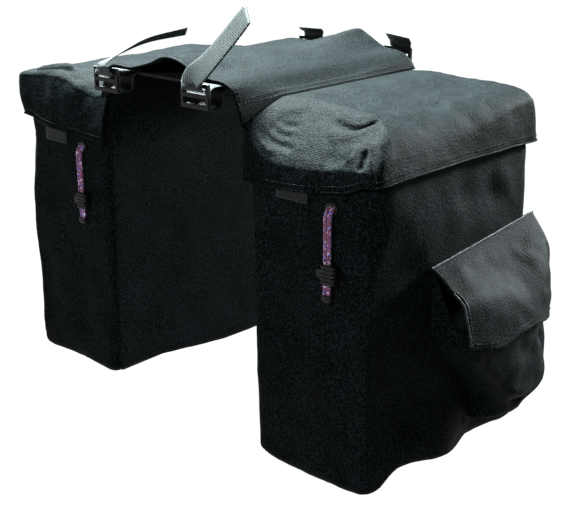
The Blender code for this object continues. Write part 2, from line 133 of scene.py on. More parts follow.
def through(knots):
    """A smooth function through (place, value) knots, level beyond its ends."""
    places = [k[0] for k in knots]
    values = [k[1] for k in knots]
    last = len(knots) - 1
    slopes = []
    for i in range(last + 1):
        a, b = max(i - 1, 0), min(i + 1, last)
        slopes.append((values[b] - values[a]) / (places[b] - places[a]))

    def value(place):
        place = clamp(place, places[0], places[-1])
        i = max(k for k in range(last) if places[k] <= place)
        gap = places[i + 1] - places[i]
        t = (place - places[i]) / gap
        return ((2 * t ** 3 - 3 * t ** 2 + 1) * values[i] + (t ** 3 - 2 * t ** 2 + t) * gap * slopes[i]
                + (3 * t ** 2 - 2 * t ** 3) * values[i + 1] + (t ** 3 - t ** 2) * gap * slopes[i + 1])

    return value


def smooth_path(points, steps):
    """A Catmull-Rom curve through the points, with this many steps in each stretch."""
    points = [Vector(p) for p in points]
    ends = [points[0] * 2 - points[1]] + points + [points[-1] * 2 - points[-2]]
    path = []
    for a, b, c, d in zip(ends, ends[1:], ends[2:], ends[3:]):
        for i in range(steps):
            t = i / steps
            path.append(0.5 * (2 * b + (c - a) * t + (2 * a - 5 * b + 4 * c - d) * t * t
                               + (3 * b - a - 3 * c + d) * t ** 3))
    return path + [points[-1]]


def swell(point, size, seed=0.0):
    """Smooth noise from about -1 to 1."""
    return noise.noise(Vector((point[0] / size + seed, point[1] / size - seed, point[2] / size)))


# ---- materials
def node(tree, kind, **values):
    """A node with these input values."""
    made = tree.nodes.new(kind)
    for key, value in values.items():
        made.inputs[key.replace("_", " ")].default_value = value
    return made


def base_material(name, colour, roughness, metallic=0.0, specular=0.5, sheen=0.0, tint=None):
    """A Principled material, its tree, its shader and its object coordinates."""
    made = bpy.data.materials.new(name)
    made.use_nodes = True
    tree = made.node_tree
    shader = tree.nodes["Principled BSDF"]
    shader.inputs["Base Color"].default_value = (*colour, 1.0)
    shader.inputs["Roughness"].default_value = roughness
    shader.inputs["Metallic"].default_value = metallic
    shader.inputs["Specular IOR Level"].default_value = specular
    shader.inputs["Sheen Weight"].default_value = sheen
    shader.inputs["Sheen Roughness"].default_value = 0.35
    if tint:
        shader.inputs["Sheen Tint"].default_value = (*tint, 1.0)
    place = tree.nodes.new("ShaderNodeTexCoord").outputs["Object"]
    return made, tree, shader, place


def noise_value(tree, place, scale, detail=2.0, roughness=0.5):
    made = node(tree, "ShaderNodeTexNoise", Scale=scale, Detail=detail, Roughness=roughness)
    tree.links.new(place, made.inputs["Vector"])
    return made.outputs["Fac"]


def rougher(tree, shader, value, share, least):
    """Roughness of least + share * value."""
    rough = math(tree, "MULTIPLY_ADD", value, share)
    rough.node.inputs[2].default_value = least
    tree.links.new(rough, shader.inputs["Roughness"])


def paint(tree, shader, value, stops):
    """Base colour by a ramp through (place, colour) stops."""
    colours = ramp(tree, value, stops)
    tree.links.new(colours, shader.inputs["Base Color"])
    return colours


def math(tree, operation, a, b):
    made = tree.nodes.new("ShaderNodeMath")
    made.operation = operation
    for socket, value in zip(made.inputs, (a, b)):
        if isinstance(value, (int, float)):
            socket.default_value = value
        else:
            tree.links.new(value, socket)
    return made.outputs["Value"]


def ramp(tree, value, stops):
    made = tree.nodes.new("ShaderNodeValToRGB")
    while len(made.color_ramp.elements) < len(stops):
        made.color_ramp.elements.new(0.5)
    for element, (place, colour) in zip(made.color_ramp.elements, stops):
        element.position = place
        element.color = (*colour, 1.0)
    tree.links.new(value, made.inputs["Fac"])
    return made.outputs["Color"]


def bump(tree, shader, height, depth, strength=1.0, under=None):
    """A bump over the one under it, if any."""
    made = node(tree, "ShaderNodeBump", Strength=strength, Distance=depth)
    tree.links.new(height, made.inputs["Height"])
    if under is not None:
        tree.links.new(under, made.inputs["Normal"])
    tree.links.new(made.outputs["Normal"], shader.inputs["Normal"])
    return made.outputs["Normal"]


def bands(tree, place, direction, pitch):
    """Sine bands of this pitch across X, Y or Z."""
    made = node(tree, "ShaderNodeTexWave", Scale=pi / (10 * pitch))
    made.wave_type = "BANDS"
    made.bands_direction = direction
    tree.links.new(place, made.inputs["Vector"])
    return made.outputs["Fac"]


def cloth_material(name, dark, light, pitch=0.0011, sheen=0.3, specular=0.25, roughness=0.62):
    """Coated plain-weave cloth: a weave of thread bands, grain, and broad uneven shade."""
    made, tree, shader, place = base_material(name, dark, roughness, specular=specular,
                                              sheen=sheen, tint=(0.72, 0.95, 1.0))
    grain = noise_value(tree, place, 540.0, 2.0, 0.6)
    cloud = noise_value(tree, place, 26.0, 4.0, 0.6)
    mixed = math(tree, "ADD", math(tree, "MULTIPLY", grain, 0.85), math(tree, "MULTIPLY", cloud, 0.15))
    middle = tuple(mix(a, b, 0.2) for a, b in zip(dark, light))
    paint(tree, shader, mixed, [(0.41, dark), (0.5, middle), (0.61, light)])
    weave = bands(tree, place, "X", pitch)
    for direction in "YZ":
        weave = math(tree, "ADD", weave, bands(tree, place, direction, pitch))
    first = bump(tree, shader, weave, 0.00012, 0.5)
    bump(tree, shader, grain, 0.0009, 0.8, first)
    return made


def tape_material():
    """Hook and loop tape: a dense field of tiny loops."""
    made, tree, shader, place = base_material("fastening_tape", (0.003, 0.004, 0.0045), 0.9,
                                              specular=0.1, sheen=0.05)
    cells = node(tree, "ShaderNodeTexVoronoi", Scale=1100.0)
    tree.links.new(place, cells.inputs["Vector"])
    paint(tree, shader, cells.outputs["Distance"],
          [(0.1, (0.007, 0.0085, 0.009)), (0.6, (0.0015, 0.002, 0.0022))])
    bump(tree, shader, cells.outputs["Distance"], 0.0008, 1.0)
    return made


def webbing_material(name, dark, light):
    """Woven webbing: slanting pips in rows, laid out along the strap's own length and width."""
    made, tree, shader, _ = base_material(name, dark, 0.6, specular=0.15, sheen=0.05,
                                          tint=(0.8, 0.95, 1.0))
    place = tree.nodes.new("ShaderNodeUVMap").outputs["UV"]
    rib = bands(tree, place, "X", 0.0021)
    turned = node(tree, "ShaderNodeMapping", Rotation=(0.0, 0.0, radians(32.0)))
    tree.links.new(place, turned.inputs["Vector"])
    pip = bands(tree, turned.outputs["Vector"], "Y", 0.0017)
    height = math(tree, "MULTIPLY", rib, pip)
    fuzz = noise_value(tree, place, 2600.0, 2.0)
    # Painted highlight and shade: the colour follows the weave's height, so raised pips are lighter (painted
    # highlight) and the hollows darker (painted shade); the fuzz noise adds random tone of the thread's own.
    pip_highlight_and_fuzz = math(tree, "ADD", math(tree, "MULTIPLY", height, 0.85), math(tree, "MULTIPLY", fuzz, 0.3))
    paint(tree, shader, pip_highlight_and_fuzz, [(0.22, dark), (0.62, light)])
    bump(tree, shader, height, 0.0006, 1.0)
    return made


def plastic_material(name, colour, roughness):
    """Moulded plastic with a fine spark-eroded grain and duller scuffs."""
    made, tree, shader, place = base_material(name, colour, roughness, specular=0.18)
    grain = noise_value(tree, place, 1400.0, 2.0)
    scuff = noise_value(tree, place, 120.0, 5.0, 0.7)
    paint(tree, shader, scuff,
          [(0.35, tuple(c * 0.75 for c in colour)), (0.72, tuple(c * 1.9 for c in colour))])
    rougher(tree, shader, scuff, 0.25, roughness - 0.1)
    bump(tree, shader, grain, 0.0001, 0.6)
    return made


def cord_material():
    """Braided cord: wine-red sheath with blue and pale flecks."""
    made, tree, shader, place = base_material("braided_cord", (0.1, 0.012, 0.045), 0.55,
                                              specular=0.5, sheen=0.4)
    flecks = node(tree, "ShaderNodeTexVoronoi", Scale=760.0)
    tree.links.new(place, flecks.inputs["Vector"])
    pick = node(tree, "ShaderNodeSeparateColor")
    tree.links.new(flecks.outputs["Color"], pick.inputs["Color"])
    wine, plum, blue, pale = ((0.115, 0.012, 0.045), (0.045, 0.008, 0.04),
                              (0.05, 0.05, 0.3), (0.4, 0.33, 0.48))
    stops = [(0.0, wine), (0.45, plum), (0.7, blue), (0.88, pale)]
    paint(tree, shader, pick.outputs["Red"], stops).node.color_ramp.interpolation = "CONSTANT"
    turned = node(tree, "ShaderNodeMapping", Rotation=(0.0, radians(35.0), 0.0))
    tree.links.new(place, turned.inputs["Vector"])
    braid = bands(tree, turned.outputs["Vector"], "Z", 0.0013)
    bump(tree, shader, math(tree, "ADD", braid, flecks.outputs["Distance"]), 0.0005, 1.0)
    return made


def steel_material():
    """Drawn spring wire."""
    made, tree, shader, place = base_material("spring_steel", (0.56, 0.56, 0.55), 0.3, 1.0)
    streak = noise_value(tree, place, 2400.0, 2.0)
    rougher(tree, shader, streak, 0.3, 0.15)
    return made


def board_material():
    """Stiff pressed sheet with a fibrous surface."""
    made, tree, shader, place = base_material("pressed_board", (0.006, 0.006, 0.006), 0.6, specular=0.1)
    fibre = noise_value(tree, place, 420.0, 5.0, 0.7)
    paint(tree, shader, fibre, [(0.3, (0.003, 0.003, 0.0032)), (0.7, (0.01, 0.01, 0.0102))])
    bump(tree, shader, fibre, 0.0004, 0.7)
    return made


CLOTH_LOOK = cloth_material("coated_cloth", (0.0002, 0.0003, 0.0004), (0.0045, 0.0069, 0.0076),
                            sheen=0.003, specular=0.014)
LINING_LOOK = cloth_material("inner_lining", (0.001, 0.0012, 0.0013), (0.004, 0.0048, 0.0052),
                             pitch=0.0007, sheen=0.005, specular=0.05, roughness=0.5)
# The piping cloth is a lighter copy of the bag's cloth: a painted highlight along the piping's rounded edges.
PIPING_HIGHLIGHT_LOOK = cloth_material("edge_binding", (0.0035, 0.0049, 0.0056), (0.021, 0.026, 0.0287),
                             pitch=0.0008, sheen=0.02, specular=0.1)
# Its dark colour is the painted shade in the weave's hollows and its light colour the painted highlight on
# the pips.
WEBBING_LOOK = webbing_material("strap_webbing", (0.0002, 0.0003, 0.0003), (0.0078, 0.0106, 0.0112))
TAPE_LOOK = tape_material()
PLASTIC_LOOK = plastic_material("moulded_plastic", (0.0009, 0.001, 0.0011), 0.42)
CORD_LOOK = cord_material()
STEEL_LOOK = steel_material()
BOARD_LOOK = board_material()
THREAD_LOOK = cloth_material("sewing_thread", (0.0014, 0.0018, 0.002), (0.009, 0.0115, 0.0126),
                             pitch=0.0005, sheen=0.02, specular=0.05)


# ---- building cloth
def mesh_object(name, vertices, faces, looks, flip=False):
    """A smooth-shaded mesh object; flip turns its faces round, for a mirrored piece."""
    mesh = bpy.data.meshes.new(name)
    if flip:
        faces = [face[::-1] for face in faces]
    mesh.from_pydata([tuple(v) for v in vertices], [], faces)
    mesh.update()
    for polygon in mesh.polygons:
        polygon.use_smooth = True
    made = bpy.data.objects.new(name, mesh)
    for look in looks:
        mesh.materials.append(look)
    bpy.context.collection.objects.link(made)
    return made


def grid_faces(rows, columns, closed=False):
    """Quads of a grid of (rows + 1) rows, each with its own points; closed rows join up."""
    wide = columns if closed else columns + 1
    faces = []
    for i in range(rows):
        for j in range(columns):
            k = (j + 1) % wide
            faces.append((i * wide + j, i * wide + k, (i + 1) * wide + k, (i + 1) * wide + j))
    return faces


def sheet_points(point_at, rows, columns):
    """Grid of point_at(share along a row, share down the rows)."""
    return [point_at(j / columns, i / rows) for i in range(rows + 1) for j in range(columns + 1)]


def near_line(point, line):
    """Distance to a line of points, and the share of the way along it."""
    best, share = 1.0, 0.0
    count = len(line) - 1
    for i in range(count):
        a, b = line[i], line[i + 1]
        along = b - a
        t = clamp((point - a).dot(along) / along.length_squared)
        away = (point - a - along * t).length
        if away < best:
            best, share = away, (i + t) / count
    return best, share


class Fold:
    """A ridge or, with a negative height, a groove along a line of points, level where no z is given."""

    def __init__(self, points, width, height, fade=0.25):
        self.line = [Vector((*p, 0.0)[:3]) for p in points]
        self.width = width
        self.height = height
        self.fade = fade

    def at(self, point):
        away, share = near_line(point, self.line)
        if away > 3 * self.width:
            return 0.0
        ends = ease(0.0, self.fade, share) * ease(1.0, 1.0 - self.fade, share)
        return self.height * hill(away, 0.0, self.width) * ends


def emboss(made, relief):
    """Moves each vertex along its normal by relief(place, normal)."""
    mesh = made.data
    normals = [v.normal.copy() for v in mesh.vertices]
    moved = [v.co + n * relief(v.co, n) for v, n in zip(mesh.vertices, normals)]
    for vertex, place in zip(mesh.vertices, moved):
        vertex.co = place
    mesh.update()


def thicken(made, thickness, inner=None, offset=-1.0):
    """Gives a sheet its thickness, on the inside by default, with its lining's look there."""
    solidify = made.modifiers.new("thickness", "SOLIDIFY")
    solidify.thickness = thickness
    solidify.offset = offset
    solidify.use_even_offset = False
    if inner is not None:
        made.data.materials.append(inner)
        solidify.material_offset = 1


def finish_cloth(made, relief):
    """Embosses and lines a cloth shell, and gives the search tree of its outside."""
    emboss(made, relief)
    tree = surface_of(made)
    thicken(made, CLOTH, LINING_LOOK)
    return tree


def surface_of(made):
    """A search tree of the piece's own surface."""
    mesh = made.data
    return BVHTree.FromPolygons([v.co for v in mesh.vertices], [p.vertices for p in mesh.polygons])


def evenly(points, pitch):
    """Places at an even pitch along a line of points, with the line's direction there."""
    places = []
    left = pitch / 2
    for a, b in zip(points, points[1:]):
        length = (b - a).length
        while left <= length:
            places.append((a.lerp(b, left / length), (b - a).normalized()))
            left += pitch
        left -= length
    return places


def stitches(name, lines, tree, body):
    """Rows of thread stitches lying on a surface."""
    vertices, faces = [], []
    rings = ((-0.4, 0.35, -0.6), (-0.18, 1.0, 0.5), (0.18, 1.0, 0.5), (0.4, 0.35, -0.6))
    sides = 5
    for line in lines:
        for place, along in evenly(smooth_path(line, 6), STITCH):
            found, normal, _, _ = tree.find_nearest(place)
            if found is None:
                continue
            across = along.cross(normal).normalized()
            start = len(vertices)
            for share, size, rise in rings:
                middle = found + along * share * STITCH + normal * (STITCH_LIFT + rise * THREAD)
                for turn in (2 * pi * k / sides for k in range(sides)):
                    vertices.append(middle + (across * cos(turn) + normal * sin(turn)) * THREAD * size)
            for r in range(len(rings) - 1):
                for k in range(sides):
                    m = (k + 1) % sides
                    low, high = start + r * sides, start + (r + 1) * sides
                    faces.append((low + k, low + m, high + m, high + k))
            faces.append(tuple(start + k for k in range(sides))[::-1])
            faces.append(tuple(start + (len(rings) - 1) * sides + k for k in range(sides)))
    made = mesh_object(name, vertices, faces, [THREAD_LOOK])
    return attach(made, body)


def curve_piece(name, path, radius, look, body, roundness=2):
    """A round rod along a path."""
    curve = bpy.data.curves.new(name, "CURVE")
    curve.dimensions = "3D"
    curve.bevel_depth = radius
    curve.bevel_resolution = roundness
    curve.use_fill_caps = True
    spline = curve.splines.new("POLY")
    spline.points.add(len(path) - 1)
    for point, place in zip(spline.points, path):
        point.co = (*place, 1.0)
    made = bpy.data.objects.new(name, curve)
    curve.materials.append(look)
    bpy.context.collection.objects.link(made)
    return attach(made, body)


def bead(name, line, radius, look, body, tree=None, lift=0.0, steps=5):
    """Round piping or binding along a line, laid on a surface where one is given."""
    path = smooth_path(line, steps)
    if tree is not None:
        path = [found + normal * lift for found, normal, _, _ in map(tree.find_nearest, path)]
    return curve_piece(name, path, radius, look, body)


def tape_strip(side_name, label, body, tree, x, y_range, z_range, lift):
    """Fastening tape laid on a surface: outside it with a positive lift, inside with a negative one."""
    side = SIDES[side_name]

    def laid(along, up):
        found, normal, _, _ = tree.find_nearest(Vector((side * x, mix(*y_range, along), mix(*z_range, up))))
        return found + normal * lift

    made = mesh_object(f"{side_name}_{label}s", sheet_points(laid, *TAPE_GRID), grid_faces(*TAPE_GRID),
                       [TAPE_LOOK], flip=side < 0)
    thicken(made, TAPE, offset=0.0)
    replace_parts(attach(made, body), f"{side_name}_{label}_tape")


def mirrored(side, points):
    """Right-hand points on their own side."""
    return [Vector((side * p[0], p[1], p[2])) for p in points]


def side_folds(side, table):
    """Folds on their own side from right-hand (line, width, height) rows."""
    return [Fold(mirrored(side, line), width, height) for line, width, height in table]


# ---- lids
# Shapes are given by the distance from the seam: how far the top falls there, how deep the
# rear shoulder reaches and how far it drops.
LIDS = {
    "right": {
        "edge": 0.1424,
        "section": through([
            (0, 0.0002), (0.022, 0.0014), (0.04, 0.0008), (0.072, -0.001), (0.108, -0.004),
            (0.1245, -0.009), (0.1326, -0.0145), (0.1394, -0.0235), (0.1424, -0.03)]),
        "shoulder": through([(0, 0.052), (0.05, 0.056), (0.1, 0.052), (0.125, 0.04), (0.1424, 0.026)]),
        "droop": through([
            (0, 0.02), (0.012, 0.035), (0.03, 0.046), (0.05, 0.0465), (0.072, 0.044), (0.093, 0.041),
            (0.115, 0.033), (0.126, 0.029), (0.1424, 0.017)]),
        "hem": through([
            (0, -0.075), (0.05, -0.0745), (0.1, -0.0695), (0.125, -0.065), (0.1424, -0.058),
            (0.26, -0.057), (0.36, -0.059), (0.4, -0.061), (0.55, -0.065)]),
        "flare": 0.0056, "rear_flare": 0.0012, "set": 0.0, "corner": 0.024, "ear": 0.0055, "tuck": 0.003,
        "seed": 3.1, "slant": 1.62,
    },
    "left": {
        "edge": 0.1445,
        "section": through([
            (0, 0.0002), (0.03, 0.0022), (0.06, 0.002), (0.09, 0.0004), (0.115, -0.003), (0.135, -0.008),
            (0.1445, -0.012)]),
        "shoulder": through([(0, 0.045), (0.04, 0.04), (0.065, 0.02), (0.1, 0.014), (0.1445, 0.012)]),
        "droop": through([
            (0, 0.018), (0.02, 0.023), (0.04, 0.021), (0.065, 0.012), (0.1, 0.008), (0.1445, 0.005)]),
        "hem": through([
            (0, -0.072), (0.05, -0.07), (0.1, -0.068), (0.1445, -0.062), (0.26, -0.061), (0.4, -0.064),
            (0.55, -0.066)]),
        "flare": 0.0034, "rear_flare": 0.009, "set": 0.0065, "corner": 0.012, "ear": 0.0085, "tuck": 0.017,
        "seed": 7.7, "slant": 1.4,
    },
}
LID_ROWS = (44, 66, 6)     # rear shoulder, middle, front edge
LID_GAP = 0.0012           # between the top's ends and the outside of the skirt
LID_LOOPS_Z, LID_HOOKS_Z = (-0.055, -0.046), (-0.053, -0.043)
LID_COLUMNS = 104
LID_SKIRT_RINGS = 12
FRONT_ROLL = 0.0065
FRONT_CORNER = 0.009
HEM_LENGTH = 0.55          # the length that the hem's knots are given along


def round_corner(x, y, edge_x, end_y, radius):
    """Pulls a point near a lid's outer corner onto a rounded plan."""
    inward = 1 if end_y < 0 else -1
    u = clamp((x - (edge_x - radius)) / radius)
    v = clamp(1 - (y - end_y) * inward / radius)
    size = sqrt(u * u + v * v)
    if size == 0 or u == 0 or v == 0:
        return x, y
    shrink = mix(1.0, max(u, v) / size, 0.75)
    return edge_x - radius + radius * u * shrink, end_y + inward * radius * (1 - v * shrink)


def lid_rear(shape):
    return LID_REAR + LID_GAP + shape["set"]


def lid_drop(shape, reach, y):
    """How far the lid's rear shoulder has fallen at this y, at this distance from the seam."""
    rear_y = lid_rear(shape)
    rise = clamp(1 - (y - rear_y) / shape["shoulder"](reach)) ** (1 / shape["slant"])
    return shape["droop"](reach) * (1 - sqrt(1 - rise * rise) ** shape["slant"])


def lid_top_point(shape, i, j):
    """A point of the lid's top, right-hand side: column i from the seam, row j from the rear."""
    reach = shape["edge"] * i / LID_COLUMNS
    rear_y, front_y = lid_rear(shape), LID_FRONT - LID_GAP
    back, drop = shape["shoulder"](reach), shape["droop"](reach)
    z = SEAM_Z
    rear_rows, middle_rows, front_rows = LID_ROWS
    if j < rear_rows:
        turn = (1 - j / rear_rows) * pi / 2
        y = rear_y + back * (1 - sin(turn) ** shape["slant"])
        z -= drop * (1 - cos(turn) ** shape["slant"])
    elif j <= rear_rows + middle_rows:
        y = mix(rear_y + back, front_y - FRONT_ROLL, (j - rear_rows) / middle_rows)
    else:
        turn = (j - rear_rows - middle_rows) / front_rows * pi / 2
        y = front_y - FRONT_ROLL * (1 - sin(turn))
        z -= 0.005 * (1 - cos(turn))
    z += shape["section"](reach) * mix(1.0, 0.42, ease(-0.02, 0.115, y))
    edge_x = SEAM_X + shape["edge"]
    x, y = round_corner(SEAM_X + reach, y, edge_x, rear_y, shape["corner"])
    x, y = round_corner(x, y, edge_x, front_y, FRONT_CORNER)
    ear = shape["ear"] * hill(x, edge_x, 0.016) * hill(y, rear_y, 0.016)
    return Vector((x + ear, y - 0.3 * ear, z + 0.3 * ear))


def lid_edge(rows):
    """Indices of the lid's free edge: along the rear, the outer side and the front."""
    wide = LID_COLUMNS + 1
    outer = [j * wide + LID_COLUMNS for j in range(1, rows + 1)]
    front = [rows * wide + i for i in range(LID_COLUMNS - 1, -1, -1)]
    return list(range(wide)) + outer + front


def lid_mesh(side_name):
    """Top and skirt of a lid as one sheet, and the indices of its hem."""
    side, shape = SIDES[side_name], LIDS[side_name]
    rows = sum(LID_ROWS)
    points = [lid_top_point(shape, i, j) for j in range(rows + 1) for i in range(LID_COLUMNS + 1)]
    faces = grid_faces(rows, LID_COLUMNS)
    edge = above = lid_edge(rows)
    last = len(edge) - 1
    runs = [0.0]
    for a, b in zip(edge, edge[1:]):
        runs.append(runs[-1] + (points[b] - points[a]).xy.length)
    outward = []
    for k in range(last + 1):
        along = (points[edge[min(k + 2, last)]] - points[edge[max(k - 2, 0)]]).xy.normalized()
        outward.append(Vector((along.y, -along.x, 0.0)))
    for ring in range(1, LID_SKIRT_RINGS + 1):
        share = ring / LID_SKIRT_RINGS
        start = len(points)
        for index, run, out in zip(edge, runs, outward):
            top = points[index]
            hem_z = shape["hem"](run / runs[-1] * HEM_LENGTH)
            bulge = shape["rear_flare"] * sin(pi / 2 * share) * ease(0.4, 0.9, -out.y)
            flare = mix(0.0012, shape["flare"], ease(0.5, 0.95, out.x)) * share + bulge
            loose = swell((run, 0, 0), 0.028, shape["seed"]) * 0.0011 * share * ease(0, 0.03, run)
            place = top + out * (flare + max(loose, -0.0006))
            corner = hill(top.x, SEAM_X + shape["edge"], 0.03) * hill(top.y, LID_REAR, 0.03)
            tuck = shape["tuck"] * share * corner
            place.x -= tuck
            place.y += 0.3 * tuck
            place.z = mix(top.z, hem_z + 0.0012 * swell((run, 1, 0), 0.045, shape["seed"]), share)
            points.append(place)
        for k in range(last):
            faces.append((above[k + 1], above[k], start + k, start + k + 1))
        above = list(range(start, start + last + 1))
    name = f"{side_name}_lid_shell"
    return mesh_object(name, mirrored(side, points), faces, [CLOTH_LOOK], flip=side < 0), above


LID_FOLDS = {                # plan lines, each with its fold's width and height
    "right": [
        ([(0.1645, -0.0876), (0.1745, -0.09), (0.1855, -0.0926), (0.1955, -0.093), (0.2025, -0.0895),
          (0.2065, -0.0835), (0.2125, -0.0765)], 0.0016, -0.0038),
        ([(0.164, -0.079), (0.178, -0.081), (0.192, -0.082), (0.2, -0.077), (0.206, -0.069)], 0.005, 0.0016),
        ([(0.166, -0.098), (0.186, -0.102), (0.204, -0.099), (0.214, -0.088)], 0.0055, 0.002),
        ([(0.184, -0.054), (0.204, -0.052), (0.22, -0.06)], 0.008, -0.001),
        ([(0.2205, -0.1095), (0.224, -0.118), (0.2265, -0.127)], 0.002, -0.0034),
        ([(0.213, -0.108), (0.212, -0.124)], 0.005, 0.0014),
        ([(0.104, -0.112), (0.12, -0.117), (0.138, -0.116), (0.15, -0.119)], 0.0022, -0.002),
        ([(0.108, -0.106), (0.124, -0.11), (0.142, -0.108)], 0.0022, -0.0016),
        ([(0.112, -0.1), (0.126, -0.102), (0.14, -0.099)], 0.0024, -0.0014),
        ([(0.1, -0.118), (0.116, -0.122), (0.134, -0.122)], 0.0024, 0.0016),
        ([(0.101, -0.09), (0.118, -0.089), (0.136, -0.084)], 0.005, 0.0012),
        ([(0.182, -0.118), (0.198, -0.121), (0.212, -0.118)], 0.004, -0.0016),
        ([(0.196, 0.034), (0.204, 0.05), (0.213, 0.056)], 0.01, -0.0018),
        ([(0.199, -0.01), (0.207, 0.004), (0.214, 0.02)], 0.01, -0.0022),
        ([(0.212, -0.062), (0.219, -0.052), (0.223, -0.038)], 0.009, -0.0014),
        ([(0.12, 0.03), (0.15, 0.06), (0.16, 0.1)], 0.02, 0.0018),
    ],
    "left": [
        ([(-0.15, -0.1), (-0.17, -0.086), (-0.2, -0.078)], 0.01, -0.0016),
        ([(-0.158, -0.112), (-0.185, -0.108), (-0.212, -0.11), (-0.24, -0.114)], 0.0034, -0.0034),
        ([(-0.16, -0.104), (-0.19, -0.099), (-0.215, -0.101), (-0.238, -0.104)], 0.005, 0.0026),
        ([(-0.13, -0.118), (-0.16, -0.124), (-0.2, -0.123)], 0.005, 0.0024),
        ([(-0.175, -0.132), (-0.205, -0.134), (-0.235, -0.13)], 0.005, -0.0022),
        ([(-0.2, 0.01), (-0.215, 0.05), (-0.205, 0.09)], 0.016, -0.0022),
    ],
}


def make_lid(side_name):
    seed = LIDS[side_name]["seed"]
    made, hem = lid_mesh(side_name)
    folds = [Fold(*row) for row in LID_FOLDS[side_name]]

    def relief(point, normal):
        away = ease(0.0, 0.02, abs(point.x) - SEAM_X)
        broad = 0.0022 * swell(point, 0.055, seed) + 0.0009 * swell(point, 0.02, seed + 2)
        fine = 0.0003 * swell(point, 0.007, seed + 4)
        plan = Vector((point.x, point.y, 0))
        upper = ease(-0.066, -0.05, point.z)
        return away * (broad + fine + upper * sum(fold.at(plan) for fold in folds))

    tree = finish_cloth(made, relief)
    body = f"{side_name}_lid"
    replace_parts(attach(made, body), f"{side_name}_lid_top", f"{side_name}_lid_skirt")
    line = [made.data.vertices[i].co.copy() for i in hem]
    bead(f"{side_name}_lid_hem", [p + Vector((0, 0, 0.0004)) for p in line[1::4]], 0.001, CLOTH_LOOK, body)
    stitches(f"{side_name}_lid_hem_stitches", [[p + Vector((0, 0, 0.0055)) for p in line[2::6]]], tree, body)
    tape_strip(side_name, "lid_hook", body, tree, LID_X, LID_TAPE_Y, LID_HOOKS_Z, TAPE_INSIDE)


# ---- bags
BAG_ROWS = 84
BAG_SIDES = ((22, 5), (26, 7), (50, 7), (26, 5))   # quads along each wall, and round its corner
BACK_TOP_X = SEAM_X + 0.0002
BACK_BASE_X = span("right_back_board", X)[1] - 0.0044
BASE_SHAPES = {            # height of the base by y, along its inner edge and its outer one
    "right": (through([(-0.124, -0.352), (-0.06, -0.347), (0.0, -0.342), (0.06, -0.343), (0.124, -0.347)]),
              through([(-0.124, -0.35), (-0.106, -0.35), (-0.084, -0.334), (-0.047, -0.334), (-0.005, -0.342),
                       (0.022, -0.343), (0.083, -0.345), (0.105, -0.348), (0.124, -0.342)])),
    "left": (through([(-0.124, -0.336), (-0.06, -0.338), (0.0, -0.345), (0.06, -0.351), (0.124, -0.352)]),
             through([(-0.124, -0.338), (-0.07, -0.341), (0.0, -0.336), (0.06, -0.343), (0.124, -0.34)])),
}
# By height, the y of the panel's slanting crest and the x that the panel fills out to ahead of it.
CREST = through([(-0.176, -0.03), (-0.143, -0.043), (-0.099, -0.07), (-0.06, -0.097)])
FULL_X = through([
    (-0.34, PANEL_X + 0.001), (-0.26, PANEL_X + 0.002), (-0.17, PANEL_X + 0.0024), (-0.11, PANEL_X + 0.0004),
    (-0.075, PANEL_X - 0.0028), (-0.045, PANEL_X - 0.0076)])
CORNER_X = PANEL_X - 0.011
MOUTH_Z = -0.045
MOUTH_REAR = {"right": -0.063, "left": -0.05}   # the mouth's height at the rear wall
BASE_RINGS = 9


def outer_x(y, z):
    """Outside of the outer panel, right-hand side: full ahead of a slanting crest, slack behind it."""
    crest = CREST(z)
    full = FULL_X(z)
    behind = softly(crest - y, 0.01) / (crest - REAR_Y + 0.004)
    ahead = softly(y - crest, 0.01) * mix(0.008, 0.02, ease(-0.1, -0.2, z))
    corner = mix(PANEL_X - 0.006, CORNER_X, ease(-0.06, -0.12, z))
    rear_lobe = 0.017 * ease(-0.262, -0.322, z) * hill(y, -0.042, 0.05)
    front_lobe = 0.011 * ease(-0.275, -0.325, z) * hill(y, 0.088, 0.034)
    return mix(full, min(corner, full), behind) - ahead * ease(-0.045, -0.09, z) + rear_lobe + front_lobe


def bag_ring(depth):
    """Plan points round the bag's wall, right-hand side, from the seam end of its back."""
    x0, x1 = mix(BACK_TOP_X, BACK_BASE_X, depth), PANEL_X
    y0, y1 = REAR_Y + 0.0003, FRONT_Y - 0.0003
    corners = [Vector((x, y, 0)) for x, y in ((x0, y1), (x0, y0), (x1, y0), (x1, y1))]
    radii = [0.01, mix(0.026, 0.007, ease(0.1, 0.35, depth)), 0.018, 0.01]
    ring = []
    for w, (count, turns) in enumerate(BAG_SIDES):
        a, b = corners[w], corners[(w + 1) % 4]
        before, after = radii[w - 1], radii[w]
        along = (b - a).normalized()
        start, end = a + along * before, b - along * after
        ring += [start.lerp(end, k / count) for k in range(count)]
        left = Vector((-along.y, along.x, 0))
        centre = end + left * after
        for turn in (pi / 2 * k / turns for k in range(turns)):
            ring.append(centre + (along * sin(turn) - left * cos(turn)) * after)
    return ring


def bag_point(side_name, depth, place):
    """Lifts a ring's plan point to its height, with the walls' swell and the base's round edge."""
    rounded = 0.016 * (1 - sqrt(max(0.0, 1 - (clamp((depth - 0.955) / 0.045)) ** 2)))
    share = clamp((place.x - BACK_TOP_X) / (PANEL_X - BACK_TOP_X))
    rear = ease(-0.065, REAR_Y, place.y)
    inner_top = SEAM_Z - 0.0004 - lid_drop(LIDS[side_name], 0.0, place.y)
    outer_top = mix(MOUTH_Z, MOUTH_REAR[side_name], rear)
    top = mix(inner_top, outer_top, ease(0.0, 0.05, share))
    inner, outer = BASE_SHAPES[side_name]
    low = mix(inner(place.y), outer(place.y), share)
    z = mix(top, low, depth)
    wide = outer_x(place.y, z) - PANEL_X
    x = place.x + wide * ease(0.72, 1.0, share)
    middle_x, y = mix(BACK_BASE_X, PANEL_X, 0.5), place.y
    x += (rounded if x < middle_x else -rounded) * ease(0.0, 0.2, abs(x - middle_x) / 0.07)
    y += (rounded if y < 0 else -rounded) * ease(0.0, 0.2, abs(y) / 0.12)
    return Vector((x, y, z))


